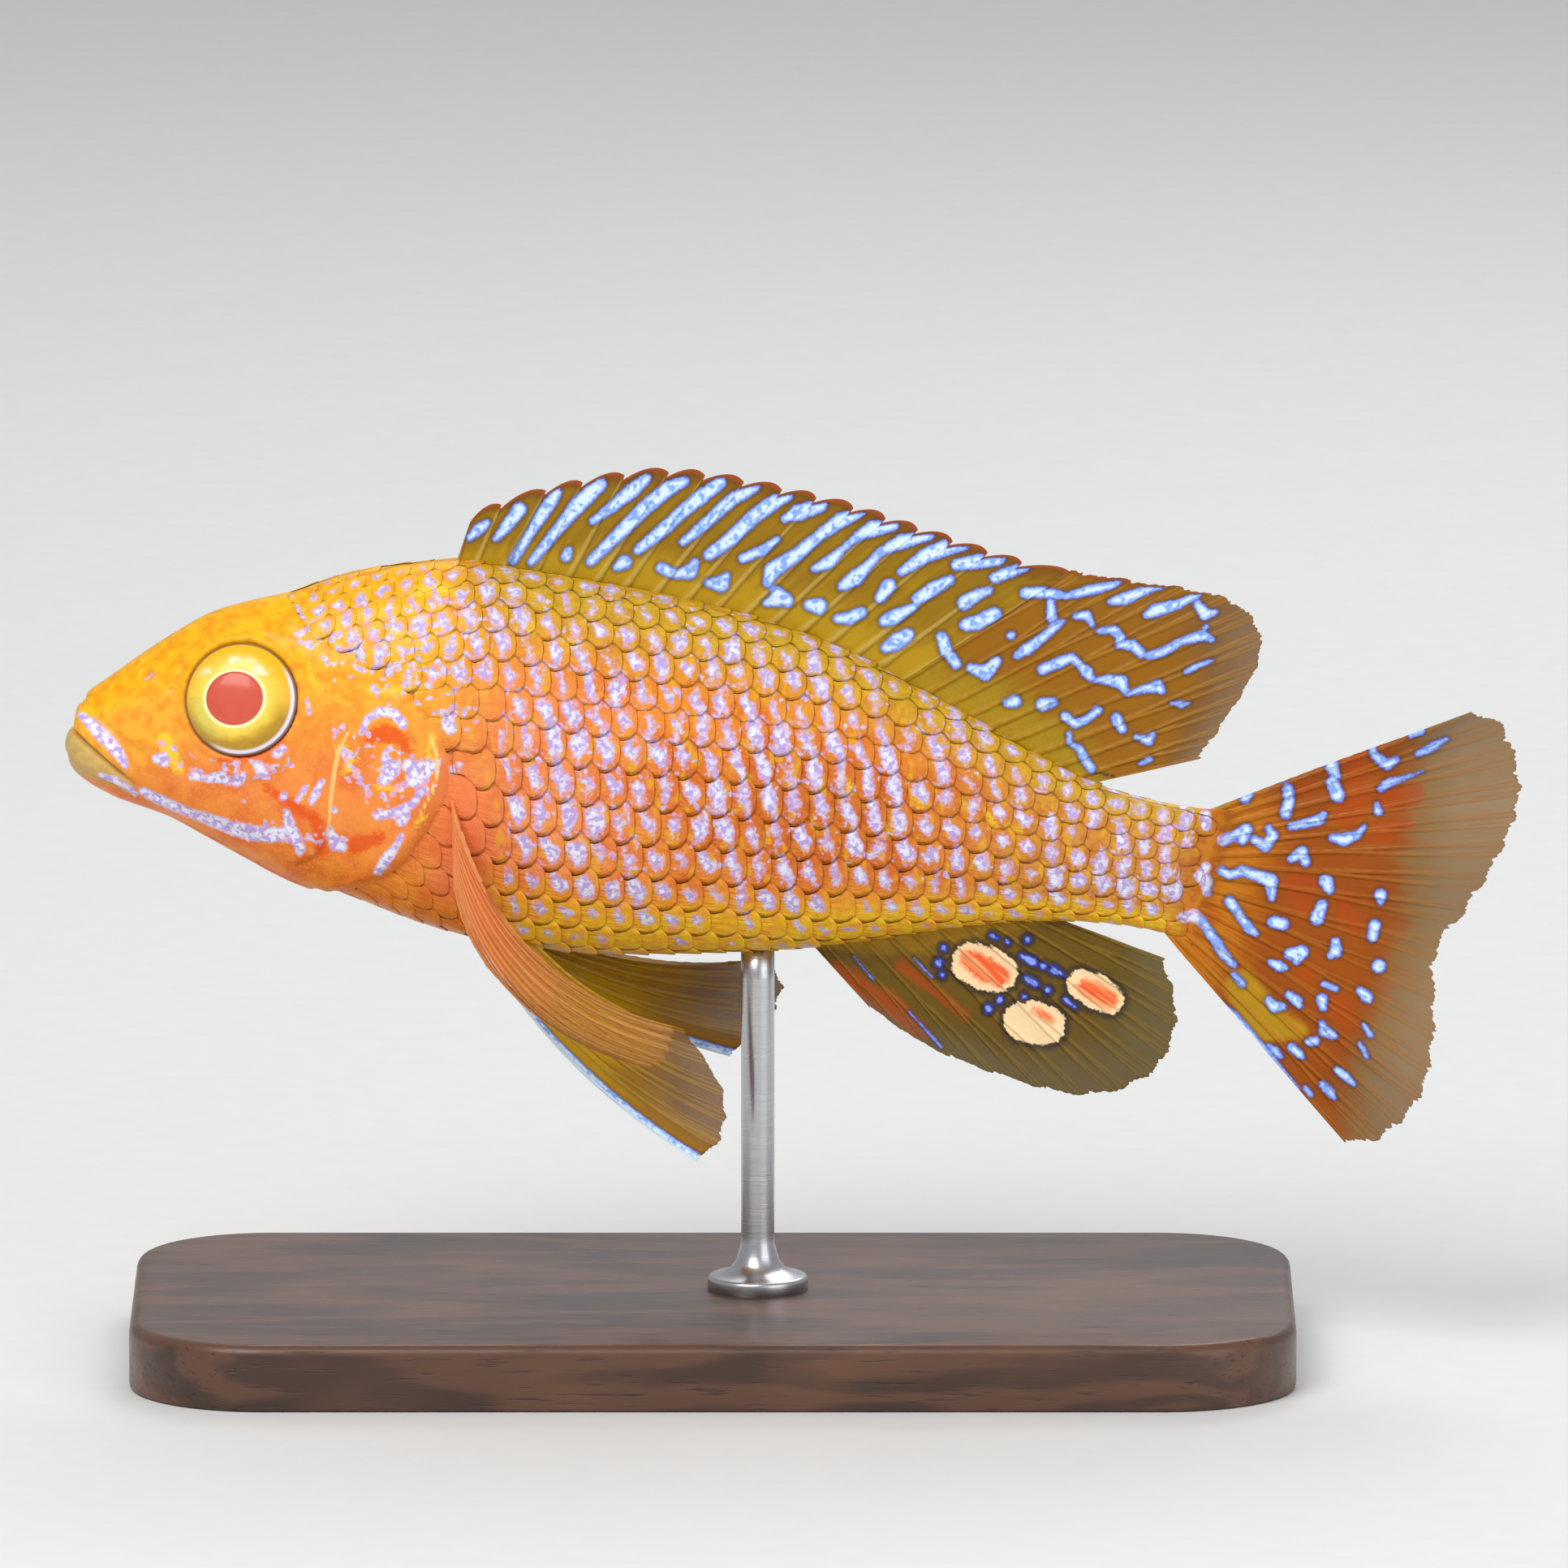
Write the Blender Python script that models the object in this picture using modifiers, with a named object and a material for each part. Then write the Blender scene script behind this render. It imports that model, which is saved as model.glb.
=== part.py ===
"""A peacock cichlid as a life-size still model on a display stand.

Sizes are in millimetres and the scene is in metres. +Z is up, the head points to -X and the left
flank to -Y. Heights of the fish are measured from a level AXIS_HEIGHT above the floor. The origin is
on the floor, under the middle of the model.
"""

import math

import bmesh
import bpy
import numpy as np
from mathutils import Matrix, Vector

MM = 0.001
GAP = 0.3
AXIS_HEIGHT = 42.0

# The body, from snout to tail: x and height of the back, x and height of the underside, half width.
BODY_RINGS = [
    (-64.3, 14.2, -64.3, 14.2, 0.0),
    (-63.6, 15.9, -64.7, 12.4, 1.6),
    (-63.4, 17.0, -64.1, 11.2, 2.5),
    (-62.8, 18.2, -62.8, 10.1, 3.2),
    (-61.0, 19.5, -61.0, 9.0, 3.8),
    (-58.5, 21.3, -58.5, 8.1, 4.5),
    (-55.5, 23.3, -55.5, 7.0, 5.3),
    (-52.0, 25.3, -52.0, 5.2, 6.1),
    (-48.5, 26.4, -48.5, 3.3, 6.8),
    (-45.0, 27.2, -45.0, 1.8, 7.4),
    (-41.5, 28.4, -41.5, 0.6, 7.9),
    (-38.0, 29.3, -38.0, -0.7, 8.2),
    (-34.0, 29.9, -34.0, -2.3, 8.5),
    (-29.0, 30.2, -29.0, -3.8, 8.7),
    (-24.0, 29.5, -24.0, -4.7, 8.7),
    (-18.5, 28.6, -18.5, -5.4, 8.7),
    (-12.5, 27.4, -12.5, -5.5, 8.4),
    (-6.0, 25.9, -6.0, -5.3, 7.9),
    (0.5, 24.0, 0.0, -5.0, 7.1),
    (6.0, 21.7, 5.0, -4.4, 6.2),
    (11.0, 19.1, 9.5, -3.7, 5.3),
    (16.5, 16.1, 14.5, -2.9, 4.4),
    (22.0, 13.0, 19.5, -2.3, 3.6),
    (27.5, 10.4, 25.0, -2.1, 2.9),
    (32.5, 9.1, 30.0, -2.4, 2.3),
    (36.5, 8.55, 33.7, -3.1, 1.8),
    (40.0, 8.3, 37.0, -4.3, 1.4),
    (42.0, 6.5, 40.5, -2.5, 0.8),
    (42.5, 2.0, 42.5, 2.0, 0.0),
]
BODY_SIDES = 36
BODY_STEPS = 50
SECTION_POWER = 0.92
HEAD_TAPER = 0.16
HEAD_TAPER_FROM, HEAD_TAPER_TO = -28.0, -48.0

# The tail swings towards the left flank from SWING_FROM on, and the fin curls back again.
SWING_FROM, SWING_TO = -12.0, 38.0
SWING = 4.5
CURL_BACK = 0.0055

# Where the body is parted, as lines in the side view, each from top to bottom.
GILL_EDGE = [
    (-36.8, 60.0),
    (-36.6, 31.0),
    (-35.2, 21.0),
    (-33.2, 17.0),
    (-31.8, 15.0),
    (-31.2, 12.8),
    (-31.4, 10.8),
    (-32.4, 8.6),
    (-33.8, 6.4),
    (-35.1, 4.4),
    (-37.0, 2.9),
    (-39.2, 1.9),
    (-41.5, 1.2),
    (-42.8, -0.6),
    (-43.2, -20.0),
]
GILL_COVER_ROWS = (3, 12)
GILL_COVER_FRONT = [(-42.0, 2.0), (-42.2, 5.0), (-41.6, 8.8), (-41.0, 12.2), (-39.6, 15.4), (-36.8, 17.4)]
GILL_COVER_SWELL = 1.07
GILL_COVER_DEPTH_FROM = 4.0
GILL_WINDOW_REACH = 2.4
LINE_STEPS = 2
MOUTH_CORNER = (-59.0, 10.9)
JAW_EDGE = [(-75.0, 24.6), MOUTH_CORNER, (-51.5, 6.9), (-49.8, 4.2), (-49.0, -20.0)]
TAIL_EDGE = [(26.2, 60.0), (23.2, -20.0)]
CAUDAL_TOP, CAUDAL_BOTTOM = (38.3, 9.3), (35.0, -4.3)
FRONT_LIMIT, TOP_LIMIT, BOTTOM_LIMIT, SIDE_LIMIT = -90.0, 60.0, -20.0, 40.0

# Lips are tubes that thin out towards the corners of the mouth, from the corner to the middle.
# The lower one reaches past the upper one.
UPPER_LIP = [
    (-58.3, 3.9, 10.9),
    (-60.2, 3.6, 13.0),
    (-61.6, 3.0, 14.3),
    (-62.6, 1.75, 15.2),
    (-63.0, 0.0, 15.5),
]
LOWER_LIP = [
    (-58.5, 3.65, 10.2),
    (-61.0, 3.2, 11.6),
    (-62.9, 2.5, 12.85),
    (-63.9, 1.3, 13.5),
    (-64.2, 0.0, 13.7),
]
LIP_RADIUS = 0.95
LIP_THINNING = (0.3, 0.78, 0.95, 1.0, 1.0)

EYE_AT = (-49.1, 18.5)
EYE_RADIUS = 5.0
EYE_HALF_DEPTH = 2.3
EYE_SINK = 0.8
NOSTRIL_AT = (-57.4, 20.3)
NOSTRIL_RADIUS = 0.6

# Fins: each row is the ray's number and the x and height of its tip.
FIN_ROWS = 8
FIN_COLUMNS = 3
FIN_SINK = 1.2
PAIRED_FIN_SINK = 0.5
FIN_THICKNESS = 1.1
MEMBRANE_SHARE = 0.5
RAY_SHARE_AT_TIP = 0.62
SPINE_COUNT = 16
DORSAL_PARTING = 0.14
DORSAL_ROOTS = [(0, -30.2), (4, -20.4), (9, -7.4), (15, 7.0), (20, 16.7), (25, 25.4)]
DORSAL_TIPS = [
    (0, -28.3, 34.6),
    (2, -21.6, 36.9),
    (5, -10.6, 38.5),
    (9, 2.6, 36.2),
    (12, 11.7, 33.4),
    (15, 21.0, 30.5),
    (17, 29.7, 29.1),
    (19, 38.3, 27.8),
    (20.5, 41.7, 25.2),
    (22, 41.5, 21.0),
    (25, 36.5, 12.9),
]
SPINE_LAPPET = 1.0
SOFT_NOTCH = 0.35
ANAL_ROOTS = [(0, 1.1), (11, 21.0)]
ANAL_TIPS = [
    (0, 7.0, -10.3),
    (2, 13.8, -14.6),
    (5, 25.4, -18.0),
    (7, 32.2, -16.0),
    (9, 34.6, -10.9),
    (11, 33.4, -5.3),
]
CAUDAL_TIPS = [
    (0, 60.6, 17.4),
    (1, 63.6, 16.0),
    (3, 65.2, 10.5),
    (5, 63.6, 5.2),
    (7, 60.2, -0.9),
    (8, 57.8, -4.7),
    (10, 57.6, -11.5),
    (12, 56.3, -17.4),
    (14, 52.6, -21.6),
    (15, 49.5, -21.9),
]
CAUDAL_ROOT_SPAN = (0.03, 0.97)
CAUDAL_RIPPLE = 1.3
CAUDAL_WAVES = 2.3

# Paired fins: the root's two ends on the body (x, height), and each row is a ray's number and its
# tip as x, distance from the middle plane and height. The bows are the first and the last ray's.
PELVIC_ROOT = ((-29.0, -3.2), (-23.4, -4.1))
PELVIC_TIPS_LEFT = [
    (0, -8.3, 9.5, -22.7),
    (1, -6.2, 9.0, -20.8),
    (3, -6.0, 7.6, -16.6),
    (5, -9.5, 6.0, -11.3),
]
PELVIC_TIPS_RIGHT = [
    (0, -5.4, 9.0, -16.6),
    (1, -2.6, 9.0, -14.2),
    (3, -0.6, 8.6, -10.2),
    (5, -2.4, 7.6, -7.4),
]
PELVIC_RAYS = 6
PELVIC_BOW = (-0.065, -0.08)
PELVIC_LIFT = 0.6
PECTORAL_ROOT = ((-30.4, 11.0), (-29.0, 4.6))
PECTORAL_TIPS_LEFT = [
    (0, -10.2, 12.6, -10.0),
    (5, -11.6, 12.8, -13.3),
    (8, -14.9, 12.2, -13.0),
    (11, -19.9, 11.2, -9.5),
]
PECTORAL_TIPS_RIGHT = [
    (0, -4.4, 13.6, 4.0),
    (5, -3.0, 13.8, -1.8),
    (8, -7.2, 13.0, -4.6),
    (11, -14.8, 11.8, -4.8),
]
PECTORAL_RAYS = 12
PECTORAL_BOW = (-0.12, -0.12)
PECTORAL_LIFT = 1.9

BASE_SIZE = (104.0, 54.0, 6.0)
BASE_CENTRE_X = -7.0
BASE_CORNER = 12.0
BASE_EDGE = 1.0
ROD_X = -3.0
ROD_RADIUS = 1.5
ROD_TIP_EDGE = 0.3
ROD_SIDES = 24
# The rod's foot, from the top down: how far it stands out from the rod, and the height over the base.
ROD_FOOT = [(0.0, 4.0), (0.6, 2.4), (3.0, 1.3), (3.0, 0.0)]

FINISHES = {
    "head": ((0.90, 0.38, 0.05), 0.32, 0.0),
    "lower_jaw": ((0.80, 0.52, 0.30), 0.35, 0.0),
    "gill_cover": ((0.88, 0.36, 0.08), 0.30, 0.0),
    "trunk": ((0.84, 0.36, 0.16), 0.35, 0.0),
    "tail_stem": ((0.78, 0.40, 0.12), 0.35, 0.0),
    "eye": ((0.85, 0.62, 0.12), 0.12, 0.0),
    "dorsal_fin_spiny": ((0.42, 0.34, 0.22), 0.45, 0.0),
    "dorsal_fin_soft": ((0.45, 0.26, 0.06), 0.45, 0.0),
    "anal_fin": ((0.35, 0.24, 0.06), 0.45, 0.0),
    "caudal_fin": ((0.60, 0.18, 0.03), 0.45, 0.0),
    "pectoral_fin": ((0.70, 0.30, 0.12), 0.45, 0.0),
    "pelvic_fin": ((0.48, 0.30, 0.05), 0.45, 0.0),
    "stand_rod": ((0.62, 0.62, 0.62), 0.28, 1.0),
    "stand_base": ((0.10, 0.05, 0.03), 0.40, 0.0),
}
SIDES = ((-1, "left"), (1, "right"))
SHARP_FROM = math.radians(40)


def clear_scene():
    for old in list(bpy.data.objects):
        bpy.data.objects.remove(old, do_unlink=True)


def new_collection(name, shown=True):
    made = bpy.data.collections.new(name)
    bpy.context.scene.collection.children.link(made)
    made.hide_render = not shown
    return made


def new_material(name):
    """The finish of a piece. A piece named for its side takes the finish that both sides share."""
    colour, roughness, metallic = FINISHES[name.removesuffix("_left").removesuffix("_right")]
    made = bpy.data.materials.new(name)
    made.use_nodes = True
    shader = made.node_tree.nodes["Principled BSDF"]
    shader.inputs["Base Color"].default_value = (*colour, 1.0)
    shader.inputs["Roughness"].default_value = roughness
    shader.inputs["Metallic"].default_value = metallic
    return made


def place(obj, collection):
    """Links an object into a collection. One in a hidden collection is only a tool for cutting."""
    collection.objects.link(obj)
    if collection.hide_render:
        obj.hide_render = True
        obj.display_type = "WIRE"
    return obj


def new_piece(name, mesh, parts):
    """A named piece of the model, with its own material."""
    piece = place(bpy.data.objects.new(name, mesh), parts)
    piece.data.materials.clear()
    piece.data.materials.append(new_material(name))
    return piece


def smooth_through(knots, at):
    """A Catmull-Rom curve through the rows of knots, read at positions counted in rows."""
    knots = np.asarray(knots, float)
    last = len(knots) - 1
    at = np.clip(np.asarray(at, float), 0, last)
    row = np.minimum(at.astype(int), last - 1)
    t = (at - row)[..., None]
    a, b = knots[np.maximum(row - 1, 0)], knots[row]
    c, d = knots[row + 1], knots[np.minimum(row + 2, last)]
    return b + 0.5 * t * (c - a + t * (2 * a - 5 * b + 4 * c - d + t * (3 * b - a - 3 * c + d)))


def along(keyed_knots, key):
    """The smooth curve through rows that start with a key, such as a ray's number, read at key."""
    table = np.asarray(keyed_knots, float)
    return smooth_through(table[:, 1:], np.interp(key, table[:, 0], np.arange(len(table))))


def swing(x):
    """How far the middle plane has swung at x: level, then a parabola, then a line that curls back."""
    share = np.clip((x - SWING_FROM) / (SWING_TO - SWING_FROM), 0, 1)
    past = np.maximum(x - SWING_TO, 0)
    return -SWING * share**2 - 2 * SWING / (SWING_TO - SWING_FROM) * past + CURL_BACK * past**2


def swing_slope(x):
    step = 0.01
    return (swing(x + step) - swing(x - step)) / (2 * step)


def body_point(ring, angle):
    """A point on the body, in mm. ring counts in BODY_RINGS, and angle is 0 on the back, pi below."""
    x_top, z_top, x_low, z_low, half_width = np.moveaxis(smooth_through(BODY_RINGS, ring), -1, 0)
    up = (1 + np.cos(angle)) / 2
    x = x_low + (x_top - x_low) * up
    z = z_low + (z_top - z_low) * up
    taper = np.clip((x - HEAD_TAPER_FROM) / (HEAD_TAPER_TO - HEAD_TAPER_FROM), 0, 1)
    side = np.sign(np.sin(angle)) * np.abs(np.sin(angle)) ** SECTION_POWER
    across = np.maximum(half_width, 0) * side * (1 - HEAD_TAPER * taper * np.cos(angle))
    slope = swing_slope(x)
    length = np.sqrt(1 + slope**2)
    return np.stack([x - across * slope / length, swing(x) + across / length, z], axis=-1)


def outline_height(x, angle):
    """The body's height at x, along its back (angle 0) or its underside (angle pi)."""
    line = body_point(np.linspace(1, len(BODY_RINGS) - 3, 400), np.full(400, float(angle)))
    return np.interp(x, line[:, 0], line[:, 2])


def flank_point(x, z, side):
    """The body's surface at x and height z, on the left (side -1) or the right (side 1), and its normal."""
    rings = np.linspace(1, len(BODY_RINGS) - 3, 300)
    angles = np.linspace(0.05, math.pi - 0.05, 200)
    grid = body_point(rings[:, None], side * angles[None, :])
    miss = (grid[..., 0] - x) ** 2 + (grid[..., 2] - z) ** 2
    i, j = np.unravel_index(np.argmin(miss), miss.shape)
    i, j = min(max(i, 1), len(rings) - 2), min(max(j, 1), len(angles) - 2)
    normal = Vector(np.cross(grid[i + 1, j] - grid[i - 1, j], grid[i, j + 1] - grid[i, j - 1])).normalized()
    if normal.y * side < 0:
        normal = -normal
    return Vector(grid[i, j]), normal


def to_scene(point):
    """Fish millimetres to scene metres."""
    return Vector((point[0], point[1], point[2] + AXIS_HEIGHT)) * MM


def body_mesh(name):
    """The whole body: a UV sphere whose rings and sides are moved onto the body's surface."""
    shape = bmesh.new()
    bmesh.ops.create_uvsphere(shape, u_segments=BODY_SIDES, v_segments=BODY_STEPS, radius=1.0)
    units = np.array([vertex.co for vertex in shape.verts])
    rings = np.arccos(np.clip(units[:, 2], -1, 1)) / math.pi * (len(BODY_RINGS) - 1)
    angles = np.arctan2(units[:, 1], units[:, 0])
    for vertex, point in zip(shape.verts, body_point(rings, angles)):
        vertex.co = to_scene(point)
    bmesh.ops.recalc_face_normals(shape, faces=shape.faces)
    mesh = bpy.data.meshes.new(name)
    shape.to_mesh(mesh)
    shape.free()
    return mesh


def mesh_from_curve(obj, collection):
    """A curve object made a mesh object of the same name and place, with its caps welded on."""
    bpy.context.scene.collection.objects.link(obj)
    bpy.context.view_layer.update()
    graph = bpy.context.evaluated_depsgraph_get()
    mesh = bpy.data.meshes.new_from_object(obj.evaluated_get(graph))
    shape = bmesh.new()
    shape.from_mesh(mesh)
    bmesh.ops.remove_doubles(shape, verts=shape.verts, dist=0.01 * MM)
    bmesh.ops.recalc_face_normals(shape, faces=shape.faces)
    shape.to_mesh(mesh)
    shape.free()
    name, world = obj.name, obj.matrix_world.copy()
    bpy.data.objects.remove(obj)
    made = bpy.data.objects.new(name, mesh)
    made.matrix_world = world
    return place(made, collection)


def prism(name, outline, collection, y_from=-SIDE_LIMIT, y_to=SIDE_LIMIT):
    """A side-view outline, in fish millimetres, extruded across the fish."""
    curve = bpy.data.curves.new(name, "CURVE")
    curve.dimensions = "2D"
    curve.fill_mode = "BOTH"
    curve.extrude = (y_to - y_from) / 2 * MM
    spline = curve.splines.new("POLY")
    spline.points.add(len(outline) - 1)
    for point, (x, z) in zip(spline.points, outline):
        point.co = (x * MM, (z + AXIS_HEIGHT) * MM, 0, 1)
    spline.use_cyclic_u = True
    guide = bpy.data.objects.new(name, curve)
    middle = Matrix.Translation((0, (y_from + y_to) / 2 * MM, 0))
    guide.matrix_world = middle @ Matrix.Rotation(math.pi / 2, 4, "X")
    return mesh_from_curve(guide, collection)


def curved(line):
    """A line of the side view with LINE_STEPS steps of a smooth curve between each two points."""
    at = np.linspace(0, len(line) - 1, (len(line) - 1) * LINE_STEPS + 1)
    return smooth_through(line, at)


def shifted(line, distance):
    """A line of the side view, moved to its left by distance. Lines that run down move to the rear."""
    points = np.asarray(line, float)
    run = np.gradient(points, axis=0)
    normal = np.stack([-run[:, 1], run[:, 0]], axis=1)
    return [tuple(p) for p in points + distance * normal / np.linalg.norm(normal, axis=1)[:, None]]


def before(line, distance=GAP / 2):
    """The outline of everything in front of a line that runs down, with half a gap left."""
    return [(FRONT_LIMIT, TOP_LIMIT), *shifted(line, -distance), (FRONT_LIMIT, BOTTOM_LIMIT)]


def between(front, rear):
    """The outline of what lies between two lines that run down, with half a gap left at each."""
    return [*shifted(rear, -GAP / 2)[::-1], *shifted(front, GAP / 2)]


def extended(line, reach=10.0):
    """A straight line of two points, made longer at both ends."""
    start, end = np.asarray(line[0]), np.asarray(line[-1])
    step = (end - start) / np.linalg.norm(end - start) * reach
    return [tuple(start - step), tuple(end + step)]


def gill_edge():
    """The rear edge of the head: smooth along the gill cover, plain above and below it."""
    first, last = GILL_COVER_ROWS
    return [*GILL_EDGE[:first], *curved(GILL_EDGE[first : last + 1]), *GILL_EDGE[last + 1 :]]


def add_boolean(obj, operation, other):
    modifier = obj.modifiers.new(f"{operation.lower()} {other.name}", "BOOLEAN")
    modifier.operation = operation
    modifier.object = other
    modifier.solver = "EXACT"


def linked_bodies(shape):
    """The separate closed bodies of a bmesh, as sets of vertices."""
    left, bodies = set(shape.verts), []
    while left:
        body, front = set(), [next(iter(left))]
        while front:
            vertex = front.pop()
            if vertex not in body:
                body.add(vertex)
                front += [edge.other_vert(vertex) for edge in vertex.link_edges]
        bodies.append(body)
        left -= body
    return bodies


def apply_modifiers(obj):
    """Gives the object the mesh that its modifiers make, with only its largest closed body kept."""
    bpy.context.view_layer.update()
    graph = bpy.context.evaluated_depsgraph_get()
    mesh = bpy.data.meshes.new_from_object(obj.evaluated_get(graph))
    obj.modifiers.clear()
    obj.data = mesh
    shape = bmesh.new()
    shape.from_mesh(mesh)
    largest = max(linked_bodies(shape), key=len)
    scraps = [vertex for vertex in shape.verts if vertex not in largest]
    bmesh.ops.delete(shape, geom=scraps, context="VERTS")
    shape.to_mesh(mesh)
    shape.free()
    mesh.shade_smooth()
    mesh.set_sharp_from_angle(angle=SHARP_FROM)
    return obj


def lip(name, points, collection):
    """One lip: a smooth tube from the left corner of the mouth, round the front, to the right one."""
    curve = bpy.data.curves.new(name, "CURVE")
    curve.dimensions = "3D"
    curve.bevel_depth = LIP_RADIUS * MM
    curve.bevel_resolution = 3
    curve.resolution_u = 3
    curve.use_fill_caps = True
    left = [((x, -y, z), size) for (x, y, z), size in zip(points, LIP_THINNING)]
    right = [((x, y, z), size) for (x, y, z), size in zip(points[:-1], LIP_THINNING[:-1])]
    spline = curve.splines.new("BEZIER")
    spline.bezier_points.add(len(left) + len(right) - 1)
    for knot, (point, size) in zip(spline.bezier_points, left + right[::-1]):
        knot.co = to_scene(point)
        knot.radius = size
        knot.handle_left_type = knot.handle_right_type = "AUTO"
    return mesh_from_curve(bpy.data.objects.new(name, curve), collection)


def eye_matrix(side):
    """Where an eye sits: its centre a little under the skin, its short axis along the skin's normal."""
    point, normal = flank_point(*EYE_AT, side)
    turn = normal.to_track_quat("Z", "Y").to_matrix().to_4x4()
    return Matrix.Translation(to_scene(point - normal * EYE_SINK)) @ turn


def flattened_ball(radius, half_depth, matrix):
    """The mesh of a sphere that is pressed flat along its own Z."""
    shape = bmesh.new()
    bmesh.ops.create_uvsphere(shape, u_segments=24, v_segments=12, radius=radius * MM)
    bmesh.ops.scale(shape, vec=(1, 1, half_depth / radius), verts=shape.verts)
    bmesh.ops.transform(shape, matrix=matrix, verts=shape.verts)
    mesh = bpy.data.meshes.new("flattened_ball")
    shape.to_mesh(mesh)
    shape.free()
    mesh.shade_smooth()
    return mesh


def whole_body(cutters):
    """The body with both lips joined on, before it is parted."""
    lips = new_collection("lips", shown=False)
    lip("upper_lip", UPPER_LIP, lips)
    lip("lower_lip", LOWER_LIP, lips)
    whole = place(bpy.data.objects.new("whole_body", body_mesh("whole_body")), cutters)
    join = whole.modifiers.new("lips", "BOOLEAN")
    join.operation = "UNION"
    join.operand_type = "COLLECTION"
    join.collection = lips
    join.solver = "EXACT"
    apply_modifiers(whole)
    for obj in list(lips.objects):
        bpy.data.objects.remove(obj)
    return whole


def body_part(name, whole, region, parts, cutters):
    """The stretch of the whole body that lies in a region of the side view."""
    node = new_piece(name, whole.data.copy(), parts)
    add_boolean(node, "INTERSECT", prism(f"{name}_region", region, cutters))
    return node


def gill_cover_outline(window=False):
    """The gill cover from the side, or the window that the head leaves for it, which runs past the edge."""
    first, last = GILL_COVER_ROWS
    line = curved(GILL_EDGE[first : last + 1])
    front, rear = curved(GILL_COVER_FRONT), shifted(line, -GAP / 2)
    if not window:
        return [*front, *rear]
    return [*shifted([*front, rear[0]], GAP), *shifted(line, GILL_WINDOW_REACH)[1:]]


def make_head(whole, cutters, parts):
    head = body_part("head", whole, before(gill_edge()), parts, cutters)
    hollows = [prism("jaw_space", before(JAW_EDGE, -GAP / 2), cutters)]
    for side, word in SIDES:
        depths = sorted((side * (GILL_COVER_DEPTH_FROM - GAP), side * SIDE_LIMIT))
        hollows.append(prism(f"gill_window_{word}", gill_cover_outline(window=True), cutters, *depths))
        socket = flattened_ball(EYE_RADIUS + GAP, EYE_HALF_DEPTH + GAP, eye_matrix(side))
        hollows.append(place(bpy.data.objects.new(f"eye_socket_{word}", socket), cutters))
        at = Matrix.Translation(to_scene(flank_point(*NOSTRIL_AT, side)[0]))
        nostril = flattened_ball(NOSTRIL_RADIUS, NOSTRIL_RADIUS, at)
        hollows.append(place(bpy.data.objects.new(f"nostril_{word}", nostril), cutters))
    for hollow in hollows:
        add_boolean(head, "DIFFERENCE", hollow)
    apply_modifiers(head)


def make_gill_covers(whole, cutters, parts):
    """Plates cut from a body that is a little wider, so that they stand out from the cheek."""
    swollen = whole.data.copy()
    swollen.transform(Matrix.Diagonal((1, GILL_COVER_SWELL, 1, 1)))
    for side, word in SIDES:
        depths = sorted((side * GILL_COVER_DEPTH_FROM, side * SIDE_LIMIT))
        region = prism(f"gill_cover_region_{word}", gill_cover_outline(), cutters, *depths)
        cover = new_piece(f"gill_cover_{word}", swollen.copy(), parts)
        add_boolean(cover, "INTERSECT", region)
        apply_modifiers(cover)


def make_body_parts(whole, cutters, parts):
    make_head(whole, cutters, parts)
    make_gill_covers(whole, cutters, parts)
    caudal_edge = extended([CAUDAL_TOP, CAUDAL_BOTTOM])
    regions = (
        ("lower_jaw", before(JAW_EDGE)),
        ("trunk", between(gill_edge(), TAIL_EDGE)),
        ("tail_stem", between(TAIL_EDGE, caudal_edge)),
    )
    for name, region in regions:
        apply_modifiers(body_part(name, whole, region, parts, cutters))


def make_eyes(parts):
    for side, word in SIDES:
        new_piece(f"eye_{word}", flattened_ball(EYE_RADIUS, EYE_HALF_DEPTH, eye_matrix(side)), parts)


def fin_columns(first, last):
    """Ray numbers of a fin's columns: a column on each ray, and FIN_COLUMNS - 1 between two rays."""
    return np.append(np.arange(round(first * FIN_COLUMNS), last * FIN_COLUMNS) / FIN_COLUMNS, last)


def fin_sheet(name, points):
    """A grid of points as an open sheet of triangles, and each vertex's row and column in that grid."""
    rows, columns = points.shape[:2]
    shape = bmesh.new()
    bmesh.ops.create_grid(shape, x_segments=columns - 1, y_segments=rows - 1, size=0.5)
    places = []
    for vertex in shape.verts:
        where = round((vertex.co.y + 0.5) * (rows - 1)), round((vertex.co.x + 0.5) * (columns - 1))
        vertex.co = to_scene(points[where])
        places.append(where)
    bmesh.ops.triangulate(shape, faces=shape.faces, quad_method="FIXED")
    mesh = bpy.data.meshes.new(name)
    shape.to_mesh(mesh)
    shape.free()
    return mesh, places


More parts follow.
